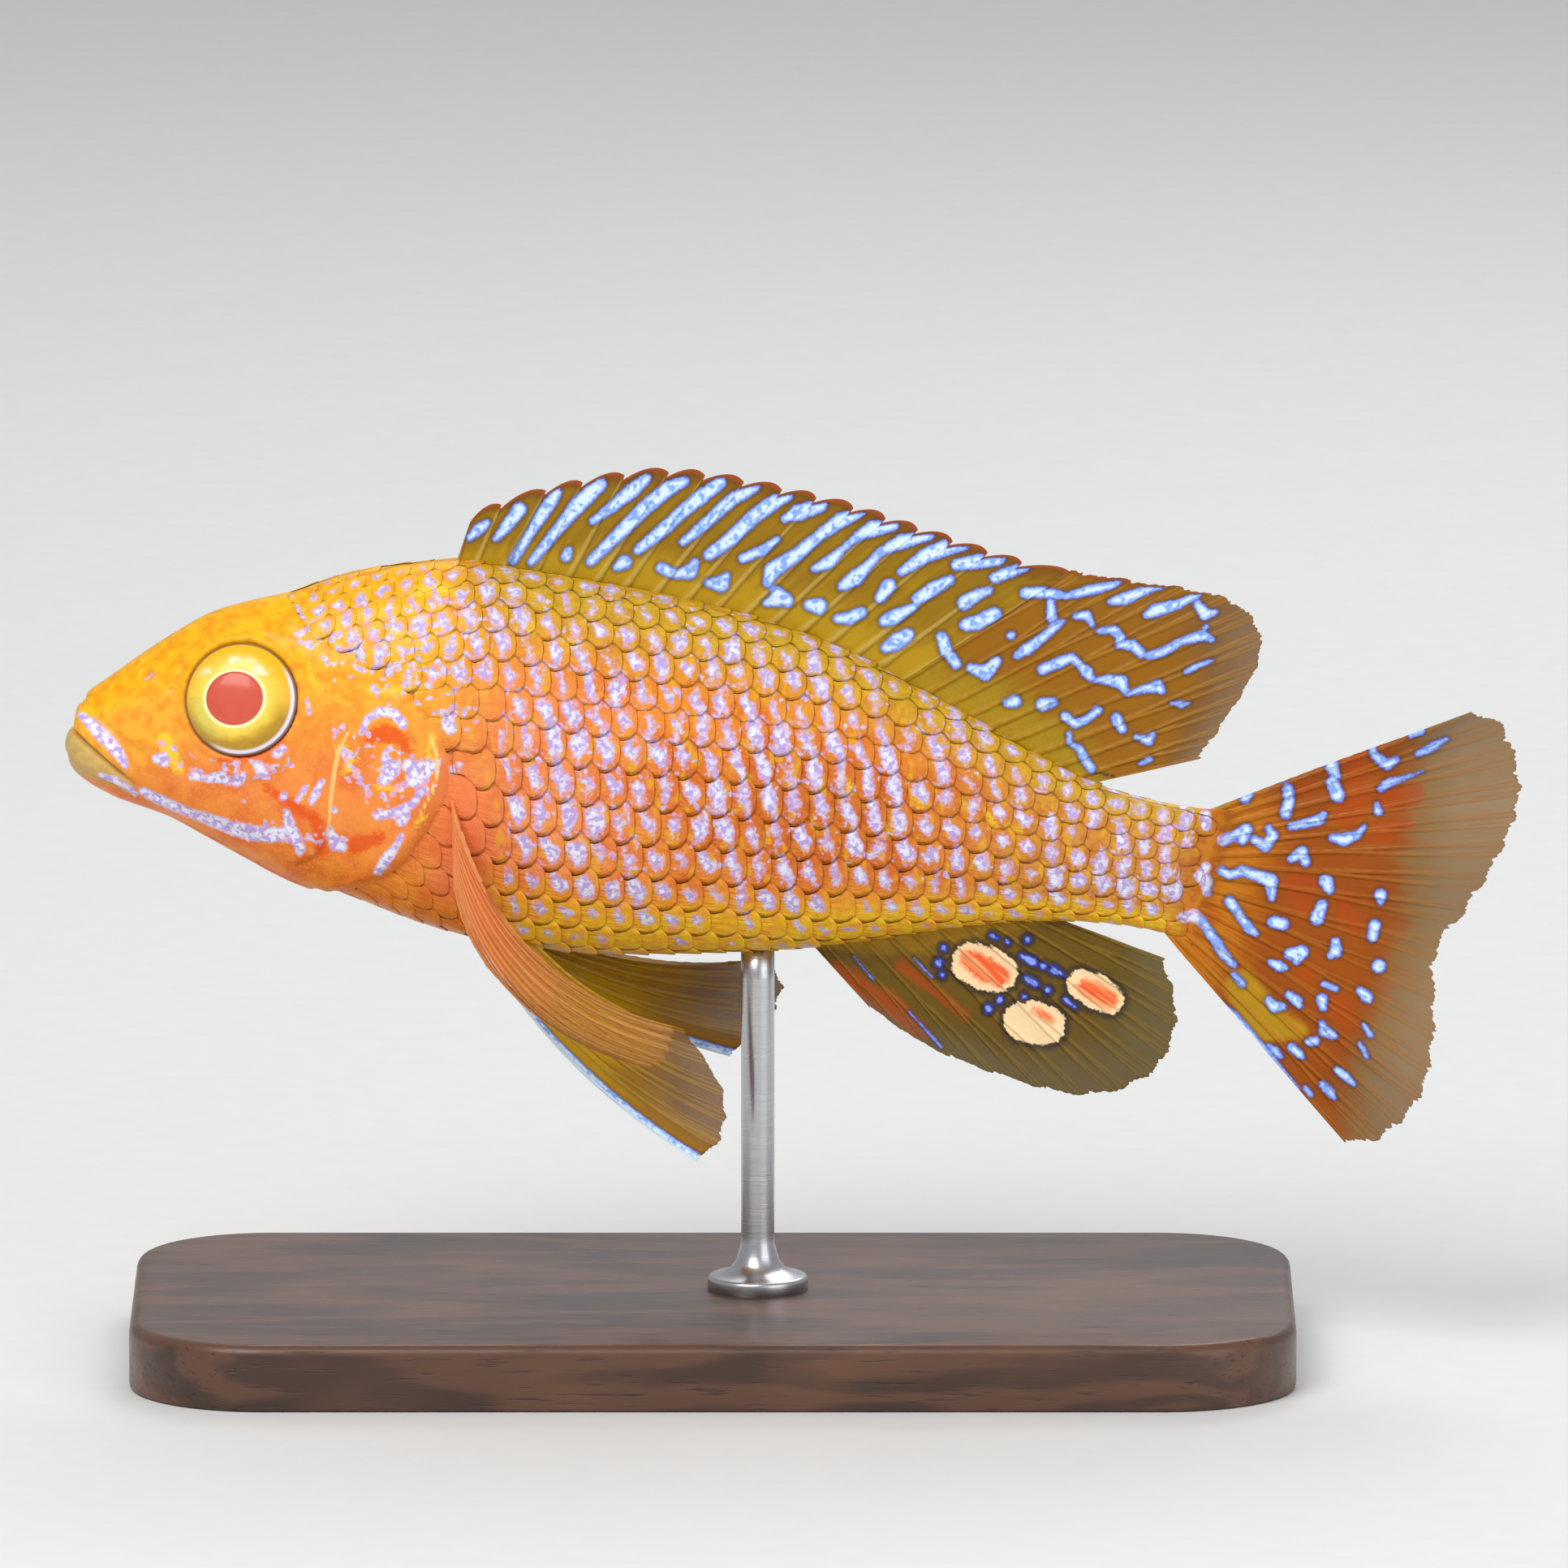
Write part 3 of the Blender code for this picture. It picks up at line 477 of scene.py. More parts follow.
# %% [markdown]
# ## Coordinates that follow the flank
# Scales lie in rows along the body. A row keeps its distance from the line along the middle of the
# flank, measured over the skin, so the scales need that distance as a coordinate: station says how
# far along the fish, rise how far up the flank. Two tables turn it into an angle of the section
# and back.

# %% Station and rise
RING_AXIS = np.linspace(0.3, LAST_RING - 0.1, 260)
ANGLE_AXIS = np.linspace(0, math.pi, 241)
MIDDLE = len(ANGLE_AXIS) // 2
half_body = body_point(RING_AXIS[:, None], ANGLE_AXIS[None, :])
run = np.cumsum(np.linalg.norm(np.diff(half_body, axis=1), axis=2), axis=1)
run = np.concatenate([np.zeros((len(run), 1)), run], axis=1)
RISE = run[:, [MIDDLE]] - run
RISE_TOP, RISE_LOW = RISE[:, 0], -RISE[:, -1]
STATION_AXIS = smooth_through(BODY_RINGS, RING_AXIS)[:, [0, 2]].mean(axis=1)
SHARE_AXIS = np.linspace(-1, 1, 161)
ANGLE_OF = np.array([
    np.interp(np.where(SHARE_AXIS > 0, SHARE_AXIS * top, SHARE_AXIS * low), rise[::-1], ANGLE_AXIS[::-1])
    for rise, top, low in zip(RISE, RISE_TOP, RISE_LOW)
])


def read_table(table, row, column):
    """A table read between its rows and columns, in proportion."""
    row = np.clip(row, 0, table.shape[0] - 1.001)
    column = np.clip(column, 0, table.shape[1] - 1.001)
    i, j = row.astype(int), column.astype(int)
    v, w = row - i, column - j
    low = table[i, j] * (1 - w) + table[i, j + 1] * w
    return low * (1 - v) + (table[i + 1, j] * (1 - w) + table[i + 1, j + 1] * w) * v


def row_of(ring):
    """The row of the tables at which a ring is held."""
    return (ring - RING_AXIS[0]) / (RING_AXIS[1] - RING_AXIS[0])


def rise_at(ring, angle):
    """The rise of a place of the body, the same on both flanks."""
    return read_table(RISE, row_of(ring), np.abs(angle) / ANGLE_AXIS[1])


def rise_share(station, rise):
    """The rise as a share of the way to the back (1) or to the underside (-1)."""
    top = np.interp(station, STATION_AXIS, RISE_TOP)
    low = np.interp(station, STATION_AXIS, RISE_LOW)
    return rise / np.where(rise > 0, top, low)


def place_on_flank(station, rise, side):
    """Ring and angle of a place on the flank, for body_point."""
    ring = np.interp(station, STATION_AXIS, RING_AXIS)
    share = np.clip(rise_share(station, rise), -1, 1)
    column = (share + 1) / (SHARE_AXIS[1] - SHARE_AXIS[0])
    return ring, side * read_table(ANGLE_OF, row_of(ring), column)


half_girth = np.interp(-29.0, STATION_AXIS, RISE_TOP + RISE_LOW)
print("half girth behind the gills:", round(float(half_girth), 1), "mm")

# %% [markdown]
# ## Reading the photo's marks
# A mark is a stroke of a brush: a line of pixels with a half width at each. stroke_depth says how
# deep each point of the skin lies inside the nearest stroke, in mm, and the material then draws the
# mark's edge where that number passes 0. FAR is the depth far from any mark. Both flanks carry the
# left one's marks.

# %% Places in the photo
FAR = -9.0
STEM_THIN_FROM, STEM_THIN_TO = -3.6, 1.7
STEM_END, STEM_DRAW = 1.6, 0.85


def photo_place(points, mirrored=True):
    """The pixel at which a point shows. A point of the right flank shows where its mirror image does."""
    x, y, z = np.moveaxis(points, -1, 0)
    if mirrored:
        y = swing(x) - np.abs(y - swing(x))
    seen = z * math.cos(ELEVATION) + y * math.sin(ELEVATION)
    return PHOTO_AXIS[0] + x / PHOTO_SCALE, PHOTO_AXIS[1] - seen / PHOTO_SCALE


def stroke_depth(px, py, strokes):
    """How deep places lie inside strokes, in mm: the half width there less the distance."""
    depth = np.full(px.shape, FAR)
    for stroke in strokes:
        knots = np.array(stroke if len(stroke) > 1 else stroke * 2, float)
        for a, b in zip(knots[:-1], knots[1:]):
            run = b[:2] - a[:2]
            share = np.clip(((px - a[0]) * run[0] + (py - a[1]) * run[1]) / max(run @ run, 1e-9), 0, 1)
            away = np.hypot(px - a[0] - share * run[0], py - a[1] - share * run[1])
            np.maximum(depth, (a[2] + (b[2] - a[2]) * share - away) * PHOTO_SCALE, out=depth)
    return depth


def line_distance(x, z, line):
    """Distance in mm from a line of the side view that runs down, positive behind it, and the way
    along it from 0 to 1. The nearest piece of the line counts, and a cross product gives the side."""
    knots = np.array(line, float)
    lengths = np.linalg.norm(np.diff(knots, axis=0), axis=1)
    starts = np.concatenate([[0], np.cumsum(lengths)])
    best, signed, way = np.full(x.shape, 1e9), np.zeros(x.shape), np.zeros(x.shape)
    for k, (a, b) in enumerate(zip(knots[:-1], knots[1:])):
        run = (b - a) / lengths[k]
        share = np.clip((x - a[0]) * run[0] + (z - a[1]) * run[1], 0, lengths[k])
        away = np.hypot(x - a[0] - share * run[0], z - a[1] - share * run[1])
        side = np.sign((z - a[1]) * run[0] - (x - a[0]) * run[1])
        near = away < best
        best = np.where(near, away, best)
        signed = np.where(near, away * side, signed)
        way = np.where(near, (starts[k] + share) / starts[-1], way)
    return signed, way


def past_line(x, z, line):
    """How far places of the side view lie behind a line, in mm. In front of it, it is negative."""
    return line_distance(x, z, line)[0]


def past_tail_root(x, z):
    """The same, for the line along which the tail fin is rooted."""
    return past_line(x, z, [CAUDAL_TOP, CAUDAL_BOTTOM])


def pinched(points):
    """Behind the root line of the tail fin the body thins out to nothing inside the fin: what lies
    off the middle plane shrinks smoothly with the distance behind that line, and the rounded end is
    drawn forwards, square to the line."""
    x, y, z = np.moveaxis(points, -1, 0)
    behind = past_tail_root(x, z)
    side = (y - swing(x)) * (1 - step(behind, STEM_THIN_FROM, STEM_THIN_TO))
    across = np.array([CAUDAL_TOP[1] - CAUDAL_BOTTOM[1], CAUDAL_BOTTOM[0] - CAUDAL_TOP[0]])
    drawn = np.maximum(behind - STEM_END, 0) * STEM_DRAW
    back_x, back_z = drawn * across[:, None, None] / np.hypot(*across)
    return np.stack([x - back_x, swing(x - back_x) + side, z - back_z], axis=-1)


print("the origin shows at", *photo_place(np.zeros(3), mirrored=False))

# %% [markdown]
# ## The head's relief
# A fish's head is bone under thin skin, so its edges are crisp: two lips, a nostril with a raised
# rim, a ring round each eye, the bent edge of the cheek bone, and the gill cover, which ends in a
# soft flap. Each is a small formula of the distance from a line or a point, added along the normal.
# A bank or a groove is held as three numbers: its height, its distance from the line, and its width.

# %% Lines of the head
MOUTH_FRONT, MOUTH_CORNER = np.array((-63.9, 15.0)), np.array((-59.0, 10.9))
LIP_WIDTH = 1.0
UPPER_LIP, LOWER_LIP = 0.36, 0.42
LIP_SHOWN, LIP_SLIM = (7.4, 5.4), (6.8, 2.5)
LIP_FOLDS = [(-0.16, 2.5, 0.35), (-0.12, -2.6, 0.4), (-0.4, 0.0, 0.15)]
EYE_AT = (-49.1, 18.5)
EYE_RADIUS = 5.1
EYE_SINK = 0.8
EYE_MEET, EYE_LEVEL, SOCKET_DEPTH, SOCKET_REACH = 2.6, -0.22, 1.4, 5.0
EYE_RING, EYE_FOLD = (0.10, 0.28, 0.24), (-0.10, 0.95, 0.3)
NOSTRIL_AT = (-57.4, 20.3)
NOSTRIL_RIM, NOSTRIL_PIT = (0.13, 0.72, 0.2), (-0.6, 0.0, 0.42)
GILL_LINE = [
    (-36.4, 20.2), (-34.8, 18.9), (-33.2, 17.0), (-31.8, 15.0), (-31.2, 12.8), (-31.4, 10.8),
    (-32.4, 8.6), (-33.8, 6.4), (-35.1, 4.4), (-37.0, 2.9), (-39.2, 1.9), (-41.5, 1.2), (-44.5, 1.0),
    (-48.0, 1.9), (-51.0, 3.6),
]
CHEEK_LINE = [
    (-39.9, 16.4), (-40.4, 14.3), (-40.7, 12.5), (-41.0, 10.3), (-41.3, 6.9), (-42.2, 4.8),
    (-44.0, 3.8), (-46.5, 4.3),
]
JAW_FOLD = [(-59.0, 10.9), (-57.0, 9.5), (-53.5, 7.9), (-49.5, 6.3), (-46.5, 5.6)]
SCALED_LINE = [
    (-47.0, 40.0), (-46.0, 27.5), (-43.5, 23.8), (-39.5, 21.6),
    *GILL_LINE[:12],
    (-43.0, -0.4), (-44.0, -20.0),
]
GILL_FLAP, GILL_STEP, GILL_FADE = 0.85, 0.26, 5.0
GILL_CLEFT = (-0.22, 0.3, 0.35)
CHEEK_STEP, CHEEK_FADE = 0.22, 3.0
CHEEK_GROOVE = (-0.14, 0.2, 0.28)
JAW_GROOVE = (-0.2, 0.0, 0.3)
THROAT_FOLDS, THROAT_PITCH, THROAT_TOP = 0.12, 1.5, 9.0
SCALE_BED = 0.13
PORES = [
    (-54.6, 12.9), (-52.3, 11.9), (-49.8, 11.3), (-47.2, 11.4), (-44.9, 12.3), (-41.9, 11.4), (-42.2, 8.9),
    (-42.6, 6.6), (-44.3, 5.0), (-57.0, 15.6), (-55.3, 19.2), (-43.6, 20.4),
]
PORE = (-0.16, 0.0, 0.2)
eye_point, eye_normal = flank_point(*EYE_AT, -1)
nostril_point, _ = flank_point(*NOSTRIL_AT, -1)
print("pores:", len(PORES))

# %% [markdown]
# Each feature of the head has a formula of its own, and the skin's relief is their sum. A crease is a
# bank whose height is below 0.


# %% Relief of the head
def bank(distance, height, at, width):
    """A smooth bank at a distance from a line, or a groove: the bell curve of the distance."""
    return height * np.exp(-(((distance - at) / width) ** 2))


def lips(x, z):
    """Two half-round rolls along the mouth line with a crease between, thinner to the corner."""
    course = MOUTH_CORNER - MOUTH_FRONT
    course = course / np.linalg.norm(course)
    way = (x - MOUTH_FRONT[0]) * course[0] + (z - MOUTH_FRONT[1]) * course[1]
    above = (z - MOUTH_FRONT[1]) * course[0] - (x - MOUTH_FRONT[0]) * course[1]
    width = LIP_WIDTH * (0.5 + 0.5 * step(way, *LIP_SLIM))
    upper = UPPER_LIP * np.sqrt(np.clip(1 - (above / width - 1) ** 2, 0, 1))
    lower = LOWER_LIP * np.sqrt(np.clip(1 - (above / width + 1) ** 2, 0, 1))
    folds = sum(bank(above, *fold) for fold in LIP_FOLDS)
    return step(way, *LIP_SHOWN) * (np.maximum(upper, lower) * (0.6 + 0.4 * width) + folds)


def eye_ring(left):
    """The skin rises to a ring round the eye and drops steeply inside it, under the eyeball."""
    offset = left - eye_point
    height = offset @ eye_normal
    away = np.linalg.norm(offset - height[..., None] * eye_normal, axis=-1) - EYE_RADIUS
    near = np.abs(height) < SOCKET_REACH
    lift = near * step(away, EYE_MEET, 0.05) * (EYE_LEVEL - height)
    lift += bank(away, *EYE_RING) + bank(away, *EYE_FOLD)
    return lift - near * SOCKET_DEPTH * step(away, -0.02, -0.3)


def gill_cover(x, z):
    """The cover stands proud and fades forwards. Its bone ends in a step and its flap in another."""
    behind, way = line_distance(x, z, GILL_LINE)
    shown = step(way, 0.0, 0.09) * step(way, 0.98, 0.78)
    plate = GILL_STEP * np.exp(np.minimum(behind, 0) / GILL_FADE)
    past_flap = behind - GILL_FLAP
    edges = step(behind, 0.10, -0.10) + step(past_flap, 0.10, -0.12)
    return shown * (plate * edges + bank(past_flap, *GILL_CLEFT))


def cheek(x, z):
    """A step and a groove along the bent edge of the cheek bone."""
    behind, way = line_distance(x, z, CHEEK_LINE)
    shown = step(way, 0.0, 0.12) * step(way, 1.0, 0.85)
    front = step(behind, 0.16, -0.16) * np.exp(np.minimum(behind, 0) / CHEEK_FADE)
    return shown * (CHEEK_STEP * front + bank(behind, *CHEEK_GROOVE))


def relief(points):
    """How far the skin stands out from the plain body, in mm."""
    x, y, z = np.moveaxis(points, -1, 0)
    left = np.stack([x, -np.abs(y), z], axis=-1)
    nostril = np.linalg.norm(left - nostril_point, axis=-1)
    out = lips(x, z) + eye_ring(left) + gill_cover(x, z) + cheek(x, z)
    out += bank(nostril, *NOSTRIL_RIM) + bank(nostril, *NOSTRIL_PIT)
    fold, way = line_distance(x, z, JAW_FOLD)
    out += bank(fold, *JAW_GROOVE) * step(way, 0.02, 0.15) * step(way, 1.0, 0.8)
    for pore_x, pore_z in PORES:
        out += bank(np.hypot(x - pore_x, z - pore_z), *PORE)
    throat = step(x, -38.0, -42.0) * step(x, -56.0, -52.0) * step(np.abs(y), 3.4, 2.2) * (z < THROAT_TOP)
    out += THROAT_FOLDS * throat * np.cos(np.abs(y) * 2 * math.pi / THROAT_PITCH)
    return out - SCALE_BED * step(past_line(x, z, SCALED_LINE), 0.3, 1.1)


print("eye centre on the plain flank:", np.round(eye_point, 1))

# %% [markdown]
# ## The lattice of scales
# Each row of scales is shifted by three tenths of a scale against the one below, so columns of
# scales lean forwards to the back. The pitch along a row and between rows changes with the station,
# because scales are smaller on the nape and at the root of the tail fin. Rows also stand closer on
# the back than on the flank, which LINES holds. Each scale wears one lilac spot, whose size, tilt and
# presence change over the flank. Chance varies them, from one seed, so every run is the same.

# %% Pitch and cells
COLUMN_PITCH = [(-50, 1.5), (-44, 1.7), (-34, 2.1), (-26, 2.35), (12, 2.35), (28, 2.1), (41, 1.75)]
ROW_PITCH = [(-50, 1.6), (-44, 1.9), (-34, 2.6), (-26, 3.1), (4, 2.9), (24, 2.05), (41, 1.45)]
LINES = np.array([(-16, -15.6), (-3, -3.25), (1, 1.05), (4, 3.7), (16, 13.5)])
ROWS, COLUMNS = np.arange(-14, 16), np.arange(-4, 46)
ROW_SHIFT = -0.30
STATIONS = np.linspace(-52, 43, 1200)
rng = np.random.default_rng(20)


def pitch(table, station):
    """The pitch in mm at a station, read from its table."""
    keys, sizes = np.array(table, float).T
    return np.interp(station, keys, sizes)


count = np.cumsum(np.gradient(STATIONS) / pitch(COLUMN_PITCH, STATIONS))
COUNT = count - count[0]


def columns_at(station):
    """How many scales lie in front of a station, with fractions."""
    return np.interp(station, STATIONS, COUNT)


def row_shift(row):
    """How far a row is shifted along, in scales."""
    return (ROW_SHIFT * row) % 1.0


def rise_of(row, station):
    """The rise of a row, with fractions, at a station."""
    return np.interp(row, *LINES.T) * pitch(ROW_PITCH, station)


cell_station = np.interp(COLUMNS[None, :] + row_shift(ROWS)[:, None], COUNT, STATIONS)
cell_rise = rise_of(ROWS[:, None], cell_station)
cell_share = rise_share(cell_station, cell_rise)
chance = rng.random((5, *cell_station.shape))
print("cells of the lattice:", cell_station.size)

# %% [markdown]
# Spots change by height on the flank: SPOT_KINDS gives the share of the rise, the half length, the
# half height and how many of them are there. There are none round the root of the breast fin.

# %% A spot for each scale
SPOT_KINDS = [
    (-1.0, 0.30, 0.35, 0.20),
    (-0.84, 0.42, 0.50, 0.70),
    (-0.68, 0.62, 0.88, 0.97),
    (-0.45, 0.68, 1.36, 0.99),
    (-0.10, 0.66, 1.74, 0.99),
    (0.25, 0.60, 1.62, 0.98),
    (0.50, 0.54, 1.35, 0.98),
    (0.74, 0.54, 1.25, 0.97),
    (0.90, 0.48, 1.00, 0.94),
    (1.0, 0.40, 0.65, 0.75),
]
SPOT_AT = 0.36
SPOTS_END = -1.9
BARE_TO, BARE_LOW, BARE_TOP = 606, -0.85, 0.30
keys, *kinds = np.array(SPOT_KINDS).T
spot_length, spot_height, spot_share = (np.interp(cell_share, keys, kind) for kind in kinds)
front = step(cell_station, -26.0, -38.0)
rear = step(cell_station, 2.0, 24.0) * (1 - 0.6 * step(cell_share, 0.4, 0.8))
spot_length *= (0.64 + 0.54 * chance[0]) * (1 - 0.22 * front) * (1 - 0.14 * rear)
spot_height *= (0.68 + 0.56 * chance[1]) * (1 - 0.35 * front) * (1 - 0.34 * rear)
lean = np.interp(cell_station, [-30, -14, 4, 24], [-6, -3, 9, 0]) * step(cell_share, 0.7, 0.3)
spot_tilt = np.radians(lean + 24 * (chance[2] - 0.5))
spot_there = chance[3] < spot_share
cell_px = PHOTO_AXIS[0] + cell_station / PHOTO_SCALE
spot_there &= ~((cell_px < BARE_TO) & (cell_share < BARE_TOP) & (cell_share > BARE_LOW))
cell_x, _, cell_z = np.moveaxis(body_point(*place_on_flank(cell_station, cell_rise, 1)), -1, 0)
cell_behind = past_tail_root(cell_x, cell_z)
spot_there &= cell_behind < SPOTS_END


def spot_depth(station, rise):
    """How deep a place on the flank lies inside its scale's spot, in mm. A spot is an ellipse, and
    the depth is one less its radius there, times its smaller half width. The nearest spots count."""
    count = columns_at(station)
    row_place = np.interp(rise / pitch(ROW_PITCH, station), *LINES.T[::-1])
    depth = np.full(station.shape, FAR)
    for row_step in (0, 1):
        row = np.floor(row_place).astype(int) + row_step
        place = count - row_shift(row) - SPOT_AT
        column = np.round(place).astype(int)
        i = np.clip(row - ROWS[0], 0, len(ROWS) - 1)
        j = np.clip(column - COLUMNS[0], 0, len(COLUMNS) - 1)
        a = (place - column) * pitch(COLUMN_PITCH, station)
        b = rise - rise_of(row, station)
        tilt = spot_tilt[i, j]
        u = a * np.cos(tilt) + b * np.sin(tilt)
        v = b * np.cos(tilt) - a * np.sin(tilt)
        radius = np.hypot(u / spot_length[i, j], v / spot_height[i, j])
        inside = (1 - radius) * np.minimum(spot_length[i, j], spot_height[i, j])
        depth = np.maximum(depth, np.where(spot_there[i, j], inside, FAR))
    return depth


print("scales in a row:", int(columns_at(39.0) - columns_at(-31.0)))

# %% [markdown]
# ## Where the colours lie
# The same numbers are worked out for the skin and for the scales, so the coat and what shows between
# carry the same markings: how much each point belongs to the crown, the olive back, the ochre belly,
# the rusty middle and so on, and how deep it lies in a pale mark.

# %% Marks of the head and flank
PALE_STROKES_AND_HIGHLIGHT = [
    [(104, 882, 4), (115, 893, 7.5), (131, 909, 8.5), (147, 926, 7), (158, 943, 3.5)],
    [(126, 953, 3), (145, 960, 5), (170, 979, 3)],
    [(176, 975, 5), (199, 986, 7), (221, 996, 6), (242, 1004, 6), (263, 1011, 8), (286, 1020, 9),
     (312, 1027, 10), (336, 1028, 10), (350, 1026, 8)],
    [(355, 1001, 5), (361, 1022, 8), (372, 1043, 7)],
    [(408, 1022, 5), (416, 1038, 9), (424, 1042, 6)],
    [(414, 998, 5)],
    [(351, 981, 6)],
    [(368, 986, 3), (379, 970, 4)],
    [(386, 986, 5), (393, 973, 5), (399, 962, 4)],
    [(195, 935, 6), (203, 936, 9)],
    [(216, 922, 4)],
    [(238, 957, 5), (247, 957, 6)],
    [(258, 959, 6), (276, 957, 8), (282, 962, 6)],
    [(295, 962, 8), (303, 955, 5)],
    [(321, 943, 7), (327, 954, 7)],
    [(344, 929, 6), (352, 922, 4)],
    [(281, 947, 3)],
    [(302, 986, 3.5)],
    [(380, 862, 2), (383, 878, 3.5)],
    [(447, 903, 4), (455, 886, 5), (470, 877, 6), (487, 878, 6), (499, 892, 7)],
    [(478, 936, 7), (485, 948, 10), (474, 960, 8)],
    [(506, 943, 9), (521, 950, 12), (534, 942, 7)],
    [(511, 962, 8), (519, 958, 7)],
    [(466, 1004, 6), (486, 1001, 6), (509, 990, 5.5), (524, 973, 4)],
    [(497, 1010, 7), (503, 1002, 6)],
    [(468, 1071, 6), (477, 1057, 8), (489, 1042, 5), (497, 1027, 4)],
    [(552, 888, 10), (557, 899, 9)],
    [(563, 949, 8), (570, 940, 5)],
    # A painted highlight: the small pale spot on the nostril's rim.
    [(180, 836, 2.5), (186, 831, 3)],
]
EDGE_STROKES = [
    [(431, 903, 2.5), (419, 925, 3.4), (414, 950, 3.6), (410, 980, 3.4), (406, 1028, 2.5)],
    [(531, 903, 2.5), (539, 926, 3.4), (541, 950, 3.4), (534, 975, 3), (520, 1000, 2.6)],
]
YELLOW_STROKES = [
    [(381, 816, 3), (386, 838, 6), (396, 848, 4)],
    [(421, 922, 8), (434, 934, 8), (428, 950, 6)],
    [(455, 850, 5), (480, 852, 7), (508, 846, 5)],
    [(500, 742, 6), (520, 727, 10), (545, 725, 9), (566, 735, 7)],
    [(536, 905, 5), (530, 930, 6), (536, 950, 4)],
    [(514, 1014, 5), (524, 1004, 5)],
    [(466, 968, 5), (500, 974, 4)],
    [(374, 990, 3), (382, 968, 4)],
    [(205, 912, 12), (222, 948, 8)],
    [(640, 770, 9), (668, 778, 7)],
    [(700, 792, 5), (724, 806, 6)],
    [(1040, 958, 6), (1048, 976, 8)],
    [(1128, 968, 7), (1133, 992, 7)],
    [(1217, 998, 6), (1226, 1016, 6)],
]
RUDDY_STROKES = [
    [(462, 908, 10), (478, 903, 14), (496, 912, 10), (505, 926, 6)],
    [(276, 936, 4), (318, 930, 6), (350, 908, 4), (364, 880, 2)],
    [(330, 970, 6), (392, 1010, 9), (398, 1050, 7)],
    [(440, 1040, 12), (470, 1030, 8)],
    [(560, 985, 6), (563, 1010, 8)],
]
CORAL_STROKES = [[(566, 955, 16), (576, 1000, 24), (572, 1050, 26), (556, 1085, 20)]]
BEIGE_STROKES = [[(78, 922, 26), (108, 935, 24), (138, 952, 15), (165, 974, 5)]]
SPECKLED = [
    [(378, 786, 16), (420, 800, 34), (480, 800, 44), (560, 790, 60)],
    [(470, 846, 18), (540, 850, 36), (575, 880, 26)],
    [(200, 925, 14), (240, 945, 16), (300, 955, 20), (350, 942, 16)],
    [(430, 905, 26), (480, 960, 44), (520, 950, 30)],
    [(300, 1012, 12), (380, 1030, 16), (430, 1035, 12)],
]
print("strokes on the head:", len(PALE_STROKES_AND_HIGHLIGHT))

# %% [markdown]
# The pale marks of the tail fin start on the tail stem, so the skin reads them too, from
# TAIL_MARKS_FROM on.

